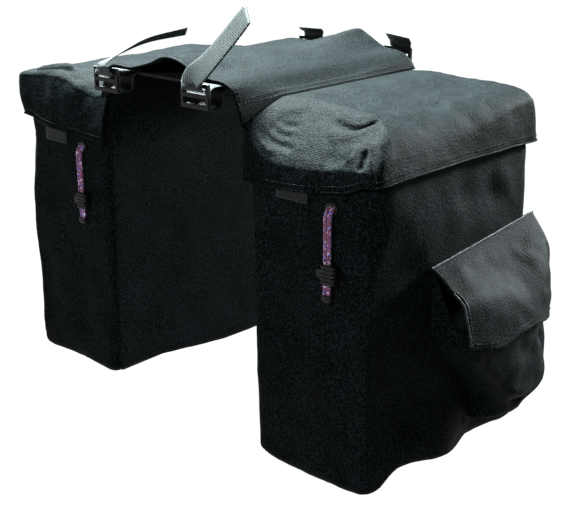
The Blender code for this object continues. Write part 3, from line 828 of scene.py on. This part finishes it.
def bag_mesh(side_name):
    """The bag's walls and base as one lofted shell."""
    side = SIDES[side_name]
    points = []
    wide = sum(count + turns for count, turns in BAG_SIDES)
    for i in range(BAG_ROWS + 1):
        depth = i / BAG_ROWS
        depth = min(depth + 0.012 * sin(pi * depth) * depth, 1.0)
        points += [bag_point(side_name, depth, place) for place in bag_ring(depth)]
    faces = [face[::-1] for face in grid_faces(BAG_ROWS, wide, closed=True)]
    last = points[-wide:]
    centre = sum(last, Vector()) / wide
    above = BAG_ROWS * wide
    for i in range(1, BASE_RINGS + 1):
        start = len(points)
        share = i / (BASE_RINGS + 1)
        sag = 0.0025 * sin(pi * share / 2)
        for place in last:
            points.append(Vector((mix(place.x, centre.x, share), mix(place.y, centre.y, share * 0.98),
                                  mix(place.z, centre.z, share) - sag)))
        for k in range(wide):
            m = (k + 1) % wide
            faces.append((above + m, above + k, start + k, start + m))
        above = start
    faces.append(tuple(range(above, above + wide))[::-1])
    name = f"{side_name}_bag_shell"
    return mesh_object(name, mirrored(side, points), faces, [CLOTH_LOOK], flip=side < 0)


BAG_FOLDS = [
    ([(0.246, -0.03, -0.296), (0.248, -0.005, -0.303), (0.25, 0.02, -0.318)], 0.006, -0.003),
    ([(0.246, -0.09, -0.3), (0.248, -0.06, -0.31), (0.25, -0.03, -0.325)], 0.009, 0.003),
    ([(0.246, -0.1, -0.25), (0.246, -0.075, -0.275), (0.248, -0.055, -0.305)], 0.01, -0.0026),
    ([(0.244, -0.02, -0.078), (0.245, 0.03, -0.098), (0.244, 0.08, -0.1)], 0.014, -0.0016),
    ([(0.243, 0.05, -0.07), (0.244, 0.075, -0.095), (0.243, 0.1, -0.125)], 0.01, 0.0014),
    ([(0.15, -0.124, -0.18), (0.16, -0.124, -0.25), (0.15, -0.124, -0.31)], 0.016, -0.003),
    ([(0.215, -0.124, -0.2), (0.222, -0.124, -0.26), (0.215, -0.124, -0.32)], 0.012, -0.0022),
    ([(0.13, -0.124, -0.1), (0.135, -0.124, -0.15), (0.12, -0.124, -0.2)], 0.012, -0.0016),
    ([(0.12, 0.124, -0.11), (0.15, 0.124, -0.2), (0.14, 0.124, -0.3)], 0.016, -0.0034),
    ([(0.2, 0.124, -0.09), (0.21, 0.124, -0.18), (0.19, 0.124, -0.29)], 0.014, -0.0028),
]


def make_bag(side_name):
    side = SIDES[side_name]
    made = bag_mesh(side_name)
    folds = side_folds(side, BAG_FOLDS)
    seed = 11.0 if side > 0 else 17.0
    eyelet = sum(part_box(f"{side_name}_eyelet"), Vector()) / 2

    def relief(point, normal):
        outer = side * normal.x
        near_seam = ease(SEAM_Z - 0.004, SEAM_Z - 0.04, point.z)
        if outer > 0.5:
            near_seam *= ease(-0.048, -0.085, point.z)
        rear = ease(-0.2, -0.9, normal.y)
        near_cord = 1 - hill(point.x, eyelet.x, 0.02) * rear * ease(-0.2, -0.16, point.z)
        behind_pocket = hill(point.z, -0.215, 0.085) * hill(point.y, 0.04, 0.1)
        near_pocket = 1 - 0.8 * ease(0.6, 0.95, outer) * behind_pocket
        back = 0.45 if outer < -0.6 else 1.0
        broad = 0.003 * swell(point, 0.07, seed) + 0.0013 * swell(point, 0.026, seed + 3)
        fine = 0.0003 * swell(point, 0.008, seed + 5)
        quiet = near_seam * near_cord * near_pocket * back
        return quiet * (broad + fine - 0.0008) + near_cord * sum(fold.at(point) for fold in folds)

    tree = finish_cloth(made, relief)
    body = f"{side_name}_bag"
    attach(made, body)
    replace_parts(made, *(f"{side_name}_{n}" for n in ("gusset", "outer_panel", "back_panel")))
    bag_seams(side_name, tree)
    cord_casing(side_name, tree)
    tape_strip(side_name, "lid_loop", body, tree, PANEL_X, LID_TAPE_Y, LID_LOOPS_Z, TAPE_OUTSIDE)


def cord_casing(side_name, tree):
    """The sleeve sewn round the inside of the mouth, with the cord's hidden run in it."""
    low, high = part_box(f"{side_name}_eyelet")
    x, z = (low.x + high.x) / 2, (low.z + high.z) / 2
    casing_low, casing_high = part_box(f"{side_name}_cord_casing")
    inset = CASING + 0.0004
    loop = rounded_loop(casing_low.x + inset, casing_high.x - inset,
                        casing_low.y + inset, casing_high.y - inset, 0.02, x)
    path = []
    for place, _ in evenly([Vector((u, v, z)) for u, v in loop], CASING_STEP):
        found, normal, _, _ = tree.find_nearest(place)
        place = found - normal * (CLOTH + inset)
        path.append(Vector((place.x, place.y, z)))
    body = f"{side_name}_bag"
    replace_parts(bead(f"{side_name}_mouth_casing", path[1:-1], CASING, LINING_LOOK, body, steps=1),
                f"{side_name}_cord_casing")
    curve_piece(f"{side_name}_drawcord_in_casing", path, CORD / 2, CORD_LOOK, body, 4)


BAG_SEAMS = {
    "rear": [(0.2415, REAR_Y, -0.085), (0.2405, REAR_Y, -0.14), (0.2405, REAR_Y, -0.2),
             (0.2405, REAR_Y, -0.26), (0.242, REAR_Y, -0.318)],
    "front": [(0.238, FRONT_Y, -0.085), (0.237, FRONT_Y, -0.16), (0.237, FRONT_Y, -0.24),
              (0.239, FRONT_Y, -0.318)],
}


def bag_seams(side_name, tree):
    """Bound seams down the outer corners, with their stitches."""
    side = SIDES[side_name]
    body = f"{side_name}_bag"
    for label, line in BAG_SEAMS.items():
        line = mirrored(side, line)
        bead(f"{side_name}_{label}_seam", line, 0.0009, CLOTH_LOOK, body, tree, 0.0002, 10)
        beside = [p + Vector((-side * 0.005, 0, 0)) for p in line]
        stitches(f"{side_name}_{label}_seam_stitches", [beside], tree, body)


# ---- pockets and flaps
# From the rear root to the front one, how far the pocket stands out from the panel, and its y.
POCKET_PLAN = [(0.0, -0.043), (0.02, -0.046), (0.04, -0.048), (0.0495, -0.045),
               (0.0528, -0.037), (0.054, -0.01), (0.054, 0.03), (0.0525, 0.058),
               (0.0465, 0.079), (0.037, 0.097), (0.024, 0.113), (0.011, 0.121), (0.0, 0.1225)]
POCKET_PATH = smooth_path([(out, y, 0) for out, y in POCKET_PLAN], 8)
POCKET_ROWS = 48
POCKET_BOTTOM = POCKET_BASE_Z - 0.028
POCKET_LOOPS_Z, FLAP_HOOKS_Z = (-0.2085, -0.1985), (-0.206, -0.196)


def pocket_point(across, down):
    """Pocket's cloth, right-hand side: across from its rear root to its front root, down 0 to 1."""
    k = across * (len(POCKET_PATH) - 1)
    i = min(int(k), len(POCKET_PATH) - 2)
    out, y = POCKET_PATH[i].lerp(POCKET_PATH[i + 1], k - i).xy
    mouth = mix(-0.152, -0.196, ease(0.0, 0.04, out))
    z = mix(mouth, POCKET_BOTTOM, 1 - (1 - down) ** 1.15)
    fall = clamp((z + 0.262) / (POCKET_BOTTOM + 0.262))
    full = sqrt(max(0.0, 1 - fall ** 2.4))
    first_y, last_y = POCKET_PATH[0].y, POCKET_PATH[-1].y
    front_y = last_y - 0.02 * ease(-0.275, POCKET_BOTTOM, z)
    rear_y = first_y + 0.074 * ease(-0.2, -0.305, z)
    y = mix(rear_y, front_y, (y - first_y) / (last_y - first_y))
    slack = mix(0.965, 0.8, ease(-0.225, -0.165, z))
    return Vector((PANEL_X - 0.0015 + out * slack * full, y, z))


POCKET_FOLDS = [
    ([(0.3, -0.03, -0.215), (0.303, -0.024, -0.24), (0.296, -0.014, -0.268)], 0.005, -0.0045),
    ([(0.296, 0.018, -0.286), (0.292, 0.036, -0.294), (0.286, 0.058, -0.296)], 0.005, -0.006),
    ([(0.298, 0.012, -0.27), (0.296, 0.04, -0.278), (0.29, 0.066, -0.28)], 0.006, 0.0034),
    ([(0.29, 0.026, -0.304), (0.282, 0.05, -0.309), (0.274, 0.076, -0.308)], 0.006, 0.0036),
    ([(0.298, 0.02, -0.226), (0.298, 0.045, -0.24), (0.292, 0.068, -0.245)], 0.008, -0.0026),
    ([(0.285, -0.046, -0.19), (0.275, -0.036, -0.22), (0.262, -0.02, -0.255)], 0.008, -0.003),
    ([(0.296, 0.07, -0.222), (0.287, 0.088, -0.25), (0.276, 0.096, -0.282)], 0.006, -0.0034),
]


def make_pocket(side_name):
    side = SIDES[side_name]
    columns = len(POCKET_PATH) - 1
    points = sheet_points(pocket_point, POCKET_ROWS, columns)
    made = mesh_object(f"{side_name}_pocket_shell", mirrored(side, points),
                       grid_faces(POCKET_ROWS, columns), [CLOTH_LOOK], flip=side > 0)
    folds = side_folds(side, POCKET_FOLDS)
    seed = 23.0 if side > 0 else 29.0

    def relief(point, normal):
        root = ease(0.004, 0.016, side * point.x - PANEL_X)
        broad = 0.0022 * swell(point, 0.04, seed) + 0.001 * swell(point, 0.017, seed + 3)
        return root * (broad + 0.0002 * swell(point, 0.007, seed) + sum(fold.at(point) for fold in folds))

    tree = finish_cloth(made, relief)
    body = f"{side_name}_bag"
    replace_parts(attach(made, body), f"{side_name}_pocket_gusset", f"{side_name}_pocket_front")
    tape_strip(side_name, "pocket_loop", body, tree, POCKET_X, POCKET_TAPE_Y, POCKET_LOOPS_Z, TAPE_OUTSIDE)


FLAP_ROWS = 40
FLAP_COLUMNS = 56
FLAP_Y = (FLAP_REAR - 0.001, FLAP_FRONT + 0.001)
# By y, where the flap's root, the fold over the pocket's front, and its tip lie.
FLAP_ROOT_Z = through([(-0.046, -0.144), (0.121, -0.131)])
FLAP_RIDGE_X = through([
    (-0.046, 0.285), (-0.02, 0.2885), (0.01, 0.2895), (0.04, 0.29), (0.07, 0.2885), (0.1, 0.282),
    (0.121, 0.272)])
FLAP_RIDGE_Z = through([
    (-0.046, -0.166), (-0.034, -0.166), (-0.014, -0.17), (0.007, -0.176), (0.031, -0.182), (0.051, -0.186),
    (0.07, -0.183), (0.1, -0.171), (0.121, -0.164)])
FLAP_TIP_X = through([
    (-0.046, 0.295), (-0.01, 0.301), (0.03, 0.303), (0.065, 0.3), (0.09, 0.29), (0.121, 0.272)])
FLAP_TIP_Z = through([
    (-0.046, -0.206), (-0.012, -0.215), (0.02, -0.211), (0.05, -0.211), (0.08, -0.217), (0.121, -0.222)])
FLAP_TURN = (0.4, 0.56)    # where that fold starts and ends, as shares of the way from root to tip
PIPED_ROWS = 14            # rows below the root where the rear piping starts


def flap_point(across, down):
    """Flap's cloth, right-hand side: across from the rear, down from its root to its tip."""
    y = mix(FLAP_Y[0], FLAP_Y[1], across)
    root = Vector((PANEL_X + 0.0012, y, FLAP_ROOT_Z(y)))
    ridge = Vector((FLAP_RIDGE_X(y), y, FLAP_RIDGE_Z(y)))
    tip = Vector((FLAP_TIP_X(y), y, FLAP_TIP_Z(y)))
    start, end = root.lerp(ridge, 0.8), ridge.lerp(tip, 0.22)
    before, after = FLAP_TURN
    if down < before:
        place = root.lerp(start, down / before)
    elif down < after:
        t = (down - before) / (after - before)
        place = start * (1 - t) ** 2 + ridge * 2 * t * (1 - t) + end * t ** 2
    else:
        place = end.lerp(tip, (down - after) / (1 - after))
    place.z -= 0.002 * hill(down, 0.5 * before, 0.16) * hill(across, 0.45, 0.35)
    place.y -= 0.006 * ease(0.0, 0.45, down) * (1 - ease(0.0, 0.3, across))
    place.y -= 0.004 * ease(0.0, 0.6, down) * ease(0.8, 1.0, across)
    return place


FLAP_FOLDS = [
    ([(0.286, -0.044, -0.163), (0.29, -0.014, -0.161), (0.291, 0.02, -0.17), (0.291, 0.052, -0.18)],
     0.004, 0.0012),
    ([(0.296, -0.03, -0.172), (0.299, 0.0, -0.176), (0.3, 0.03, -0.186)], 0.007, -0.0014),
    ([(0.299, 0.016, -0.184), (0.3, 0.024, -0.192), (0.3, 0.028, -0.2)], 0.0026, -0.0024),
    ([(0.262, -0.02, -0.148), (0.272, 0.01, -0.154), (0.274, 0.05, -0.162)], 0.01, -0.002),
    ([(0.262, 0.06, -0.15), (0.276, 0.08, -0.16), (0.282, 0.098, -0.166)], 0.006, 0.0016),
    ([(0.296, 0.066, -0.19), (0.29, 0.082, -0.198), (0.28, 0.102, -0.206)], 0.008, 0.0018),
]


def make_flap(side_name):
    """A pocket's flap with its hooks, piping and stitches."""
    side = SIDES[side_name]
    points = sheet_points(flap_point, FLAP_ROWS, FLAP_COLUMNS)
    made = mesh_object(f"{side_name}_flap_shell", mirrored(side, points),
                       grid_faces(FLAP_ROWS, FLAP_COLUMNS), [CLOTH_LOOK], flip=side > 0)
    folds = side_folds(side, FLAP_FOLDS)
    seed = 31.0 if side > 0 else 37.0

    def relief(point, normal):
        root = ease(0.002, 0.016, side * point.x - PANEL_X)
        broad = 0.0018 * swell(point, 0.038, seed) + 0.0008 * swell(point, 0.015, seed + 3)
        return root * (broad + sum(fold.at(point) for fold in folds) + 0.0012)

    tree = finish_cloth(made, relief)
    places = [vertex.co.copy() for vertex in made.data.vertices]
    wide = FLAP_COLUMNS + 1
    rear, front, root, tip = places[::wide], places[wide - 1::wide], places[:wide], places[-wide:]
    bag, flap = f"{side_name}_bag", f"{side_name}_flap"
    tape_strip(side_name, "flap_hook", flap, tree, FLAP_X, POCKET_TAPE_Y, FLAP_HOOKS_Z, TAPE_INSIDE)
    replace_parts(made, f"{side_name}_pocket_flap")
    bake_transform(made)
    bead(f"{side_name}_flap_root_piping", root[::4], 0.0011, PIPING_HIGHLIGHT_LOOK, bag)
    bead(f"{side_name}_flap_rear_piping", rear[PIPED_ROWS::3], 0.0009, PIPING_HIGHLIGHT_LOOK, flap)
    bead(f"{side_name}_flap_rear_seam", [p + Vector((0, 0.004, 0.0002)) for p in rear[PIPED_ROWS:26:3]],
         0.0006, PIPING_HIGHLIGHT_LOOK, flap, tree, 0.0003)
    sewn = slice(16, FLAP_ROWS - 4, 4)
    stitches(f"{side_name}_flap_stitches",
             [[p + Vector((0, 0, 0.006)) for p in tip[2:-2:5]],
              [p + Vector((0, 0.004, 0)) for p in rear[sewn]],
              [p + Vector((0, -0.004, 0)) for p in front[sewn]]], tree, flap)


# ---- centre panel
CENTRE_COLUMNS = 96
CENTRE_ROWS = 80
CENTRE_HALF_LENGTH = 0.1278
# Height of the panel by x, along its rear edge, its middle and its front edge.
CENTRE_REAR = through([
    (-SEAM_X, SEAM_Z), (-0.092, -0.0015), (-0.084, 0.0045), (-0.075, 0.0085), (-0.05, 0.0085),
    (-0.021, 0.0155), (0.0, 0.023), (0.02, 0.0205), (0.042, 0.0115), (0.06, 0.0092), (0.075, 0.008),
    (0.088, 0.0015), (SEAM_X, SEAM_Z)])
CENTRE_MIDDLE = through([
    (-SEAM_X, SEAM_Z), (-0.085, 0.0035), (-0.07, 0.008), (-0.035, 0.0115), (0.0, 0.014), (0.03, 0.0135),
    (0.055, 0.011), (0.075, 0.0055), (0.088, -0.003), (SEAM_X, SEAM_Z)])
CENTRE_FRONT = through([
    (-SEAM_X, SEAM_Z), (-0.085, 0.003), (-0.072, 0.0082), (-0.0387, 0.0085), (-0.013, 0.0145),
    (0.01, 0.0215), (0.024, 0.0253), (0.038, 0.0195), (0.057, 0.011), (0.078, 0.0078), (0.09, 0.002),
    (SEAM_X, SEAM_Z)])


def centre_z(x, y):
    rear = ease(-0.045, -0.125, y)
    front = ease(0.03, 0.122, y)
    z = CENTRE_MIDDLE(x) * (1 - rear - front) + CENTRE_REAR(x) * rear + CENTRE_FRONT(x) * front
    return z - lid_drop(LIDS["right" if x > 0 else "left"], 0.0, y) * ease(0.084, SEAM_X, abs(x))


def make_centre():
    """The cloth across the rack, stretched between the two seams."""
    def point_at(across, along):
        x, y = mix(-SEAM_X, SEAM_X, across), mix(-CENTRE_HALF_LENGTH, CENTRE_HALF_LENGTH, along)
        return Vector((x, y, centre_z(x, y)))

    points = sheet_points(point_at, CENTRE_ROWS, CENTRE_COLUMNS)
    made = mesh_object("centre_cover", points, grid_faces(CENTRE_ROWS, CENTRE_COLUMNS), [CLOTH_LOOK])

    def relief(point, normal):
        out = abs(point.x)
        welt = 0.0009 * ease(SEAM_X - 0.0085, SEAM_X - 0.007, out)
        strap = 1 - 0.8 * hill(out, STRAP_X, 0.018)
        waves = 0.0014 * swell(point, 0.05, 41.0) + 0.0006 * swell(point, 0.018, 43.0) + 0.0004
        return welt + ease(SEAM_X, SEAM_X - 0.03, out) * strap * waves

    tree = finish_cloth(made, relief)
    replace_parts(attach(made, "bridge"), "centre_panel")
    profile = [Vector((x, 0, CENTRE_MIDDLE(x))) for x in (SEAM_X * k / 40 for k in range(41))]
    seams = []
    for side in (-1, 1):
        for x in (side * (SEAM_X - inset) for inset in (0.0018, 0.0062)):
            seams.append([Vector((x, y / 100, centre_z(x, 0.0))) for y in range(-12, 13, 3)])
    stitches("centre_seam_stitches", seams, tree, "bridge")
    end = CENTRE_HALF_LENGTH - 0.006
    ends = [[Vector((x / 1000, y, centre_z(x / 1000, y))) for x in range(-90, 91, 10)] for y in (-end, end)]
    stitches("centre_end_stitches", ends, tree, "bridge")


# ---- webbing
def webbing(name, points, width, body, replaced, twist=(1, 0, 0), steps=10, turn_from=0.4):
    """A woven strap along a smooth path, level across X at its start and turned towards twist at its end.

    It is crowned across its width and has its own width and length as UVs.
    """
    path = smooth_path(points, steps)
    first, last = Vector((1, 0, 0)), Vector(twist).normalized()
    profile = []
    lanes = 12
    for k in range(lanes + 1):
        u = k / lanes * 2 - 1
        crown = 1 - 0.55 * abs(u) ** 6
        profile.append((u * width / 2, crown * WEB_THICK / 2))
    ring_shape = profile + [(u, -h) for u, h in profile[::-1]]
    vertices, faces, places = [], [], []
    run = 0.0
    for i, point in enumerate(path):
        ahead, behind = path[min(i + 1, len(path) - 1)], path[max(i - 1, 0)]
        along = (ahead - behind).normalized()
        if i:
            run += (point - path[i - 1]).length
        side = first.lerp(last, max(0, (i / (len(path) - 1) - turn_from) / (1 - turn_from)))
        side = (side - along * side.dot(along)).normalized()
        up = side.cross(along)
        for u, h in ring_shape:
            vertices.append(point + side * u + up * h)
            places.append((u, run))
    wide = len(ring_shape)
    faces = grid_faces(len(path) - 1, wide, closed=True)
    faces.append(tuple(range(wide))[::-1])
    faces.append(tuple(range((len(path) - 1) * wide, len(path) * wide)))
    made = mesh_object(name, vertices, faces, [WEBBING_LOOK])
    layer = made.data.uv_layers.new(name="strap")
    for loop in made.data.loops:
        layer.data[loop.index].uv = places[loop.vertex_index]
    work = bmesh.new()
    work.from_mesh(made.data)
    bmesh.ops.recalc_face_normals(work, faces=work.faces)
    work.to_mesh(made.data)
    work.free()
    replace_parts(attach(made, body), replaced)


# Runs of webbing as (y, z) from the middle outwards, for the front end: the strap over the rack's
# tube, its tab under it, and the root of its loose tail.
STRAP_TOP = [(0.088, 0.00505), (0.11, 0.00505), (0.13, 0.00505), (0.1395, 0.0045),
             (0.1445, 0.0), (0.1448, -0.0032)]
STRAP_TAB = [(0.09, 0.00345), (0.113, 0.00345), (0.1215, 0.0028), (0.1262, -0.0015),
             (0.1268, -0.008), (0.131, -0.013), (0.1375, -0.0142), (0.1442, -0.0126)]
TAIL_ROOT = [(0.147, 0.0028), (0.1512, 0.0032), (0.152, 0.0075), (0.1512, 0.013)]
TAILS = {                  # the rest of each loose tail, and the direction across its end
    ("rear", "right"): ([(0.075, -0.149, 0.025), (0.096, -0.142, 0.049),
                         (0.115, -0.137, 0.071)], (0.92, -0.2, 0.26)),
    ("rear", "left"): ([(-0.052, -0.138, 0.022), (-0.04, -0.113, 0.033),
                        (-0.02, -0.082, 0.04)], (0.64, -0.7, 0.33)),
    ("front", "right"): ([(0.062, 0.148, 0.016), (0.065, 0.14, 0.0215)], (1, 0, 0)),
    ("front", "left"): ([(-0.06, 0.148, 0.0155), (-0.056, 0.14, 0.0195)], (0.97, 0, 0.15)),
}


def make_straps():
    for (end, side_name), (tail, twist) in TAILS.items():
        back = -1 if end == "rear" else 1
        x = SIDES[side_name] * STRAP_X
        name = f"{end}_{side_name}"
        for label, run in (("strap", STRAP_TOP), ("strap_tab", STRAP_TAB)):
            webbing(f"{name}_{label}_webbing", [(x, back * y, z) for y, z in run], WEB_WIDE, "bridge",
                    f"{name}_{label}")
        root = [(x, back * y, z) for y, z in TAIL_ROOT]
        webbing(f"{name}_strap_tail_webbing", root + tail, WEB_WIDE, f"{name}_ladder_lock",
                f"{name}_strap_tail", twist, turn_from=0.12)


def make_pull_tab(side_name):
    """A short folded loop of webbing sewn inside the lid's rear hem."""
    low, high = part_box(f"{side_name}_lid_pull_tab")
    x = (low.x + high.x) / 2
    back, front = low.y + WEB_THICK / 2 - 0.0003, high.y - WEB_THICK / 2 + 0.0006
    run = [(x, back, low.z + 0.02), (x, back, low.z + 0.004), (x, back - 0.0004, low.z + 0.0015),
           (x, (back + front) / 2, low.z + 0.0004)]
    webbing(f"{side_name}_lid_tab_webbing", run, high.x - low.x, f"{side_name}_lid",
            f"{side_name}_lid_pull_tab", steps=6)


# ---- drawcords
def make_drawcord(side_name):
    """Two hanging strands from the eyelet to the moulded end."""
    low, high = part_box(f"{side_name}_eyelet")
    x, eyelet_z = (low.x + high.x) / 2, (low.z + high.z) / 2
    cord_y = REAR_Y - 0.0058
    end_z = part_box(f"{side_name}_cord_end")[0].z
    down = [(REAR_Y + 0.001, eyelet_z), (cord_y + 0.0035, eyelet_z - 0.0004),
            (cord_y + 0.0004, eyelet_z - 0.005), (cord_y, eyelet_z - 0.014), (cord_y, -0.11),
            (cord_y, -0.135), (cord_y, -0.15), (cord_y, end_z + 0.006)]
    for label, offset in (("outer", CORD_PITCH / 2), ("inner", -CORD_PITCH / 2)):
        path = smooth_path([(x + offset, y, z) for y, z in down], 6)
        made = curve_piece(f"{side_name}_drawcord_{label}_strand", path, CORD / 2, CORD_LOOK,
                           f"{side_name}_bag", 4)
        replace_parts(made, f"{side_name}_drawcord")
        length = sum((b - a).length for a, b in zip(path, path[1:]))
        tuple(path[0])


def rounded_loop(x0, x1, y0, y1, corner, gap_x, gap=0.0042, steps=6):
    """An open loop round a rectangle, starting and ending a gap each side of gap_x on its rear edge."""
    points = [(gap_x + gap, y0)]
    for (cx, cy), start in (((x1 - corner, y0 + corner), 270), ((x1 - corner, y1 - corner), 0),
                            ((x0 + corner, y1 - corner), 90), ((x0 + corner, y0 + corner), 180)):
        for i in range(steps + 1):
            angle = radians(start + 90 * i / steps)
            points.append((cx + corner * cos(angle), cy + corner * sin(angle)))
    return points + [(gap_x - gap, y0)]


# ---- CAD nodes that stay
def dress_nodes():
    looks = {"back_board": BOARD_LOOK, "bridge_base": BOARD_LOOK, "cord_casing": LINING_LOOK,
             "eyelet": PLASTIC_LOOK, "cord_end": PLASTIC_LOOK, "tape": TAPE_LOOK, "buckle": PLASTIC_LOOK,
             "lock_barrel": PLASTIC_LOOK, "lock_plunger": PLASTIC_LOOK, "lock_spring": STEEL_LOOK}
    for name, made in frame["nodes"].items():
        for ending, look in looks.items():
            if name.endswith(ending):
                for place in made.material_slots:
                    place.material = look


# ---- studio
def make_floor():
    size, drop = 400.0, BASE_Z - 0.1
    corners = [(size * u, size * v, drop) for u, v in ((-1, -1), (1, -1), (1, 1), (-1, 1))]
    floor = mesh_object("floor", corners, [(0, 1, 2, 3)], [])
    made, _, shader, _ = base_material("pale_floor", (0.004, 0.004, 0.004), 0.9, specular=0.0)
    shader.inputs["Emission Color"].default_value = (1.0, 1.0, 1.0, 1.0)
    shader.inputs["Emission Strength"].default_value = 1.0
    floor.data.materials.append(made)


def studio_light(name, place, aim, power, size, colour=(1, 1, 1), cone=None):
    """A square soft light or, with a cone in degrees, a round one with its beam narrowed to that cone."""
    data = bpy.data.lights.new(name, "SPOT" if cone else "AREA")
    data.energy = power
    data.color = colour
    if cone:
        data.shadow_soft_size = size / 2
        data.spot_size = radians(cone)
        data.spot_blend = 0.3
    else:
        data.size = size
    made = bpy.data.objects.new(name, data)
    made.location = place
    made.rotation_euler = (Vector(aim) - Vector(place)).to_track_quat("-Z", "Y").to_euler()
    bpy.context.collection.objects.link(made)


def make_studio():
    make_floor()
    world = bpy.data.worlds.new("studio")
    world.use_nodes = True
    background = world.node_tree.nodes["Background"]
    background.inputs["Color"].default_value = (0.85, 0.93, 1.0, 1.0)
    background.inputs["Strength"].default_value = 0.06
    bpy.context.scene.world = world
    front_right = (0.86, 3.0, 1.0)
    studio_light("key", (-1.45, 0.5, 2.55), (0.05, 0.0, -0.08), 3000, 0.9, (0.86, 1.0, 1.0))
    studio_light("front_fill", front_right, (0.2, 0.0, -0.15), 230, 0.7, (0.9, 1.0, 1.0))
    studio_light("panel_light", front_right, (0.44, 0.0, -0.15), 2600, 0.7, (0.9, 1.0, 1.0), cone=16.0)
    studio_light("rear_fill", (0.5, -2.0, 0.9), (0.05, -0.1, -0.1), 48, 0.3)
    bpy.context.scene.view_settings.view_transform = "Standard"


def make_camera():
    data = bpy.data.cameras.new("camera")
    data.sensor_width = 36.0
    data.lens = 65.45
    data.shift_x = 0.0056
    data.shift_y = -0.0155
    data.clip_start = 0.01
    made = bpy.data.objects.new("camera", data)
    yaw, pitch, roll = radians(42.29), radians(19.14), radians(-0.13)
    turn = (Matrix.Rotation(yaw, 4, "Z") @ Matrix.Rotation(pi / 2 - pitch, 4, "X")
            @ Matrix.Rotation(roll, 4, "Z"))
    made.matrix_world = Matrix.Translation((0.7232, -0.7628, 0.1671)) @ turn
    bpy.context.collection.objects.link(made)
    bpy.context.scene.camera = made


def main():
    make_camera()
    make_studio()
    dress_nodes()
    for side_name in SIDES:
        make_drawcord(side_name)
        make_bag(side_name)
        make_pocket(side_name)
        make_flap(side_name)
        make_lid(side_name)
        make_pull_tab(side_name)
    make_centre()
    make_straps()


main()
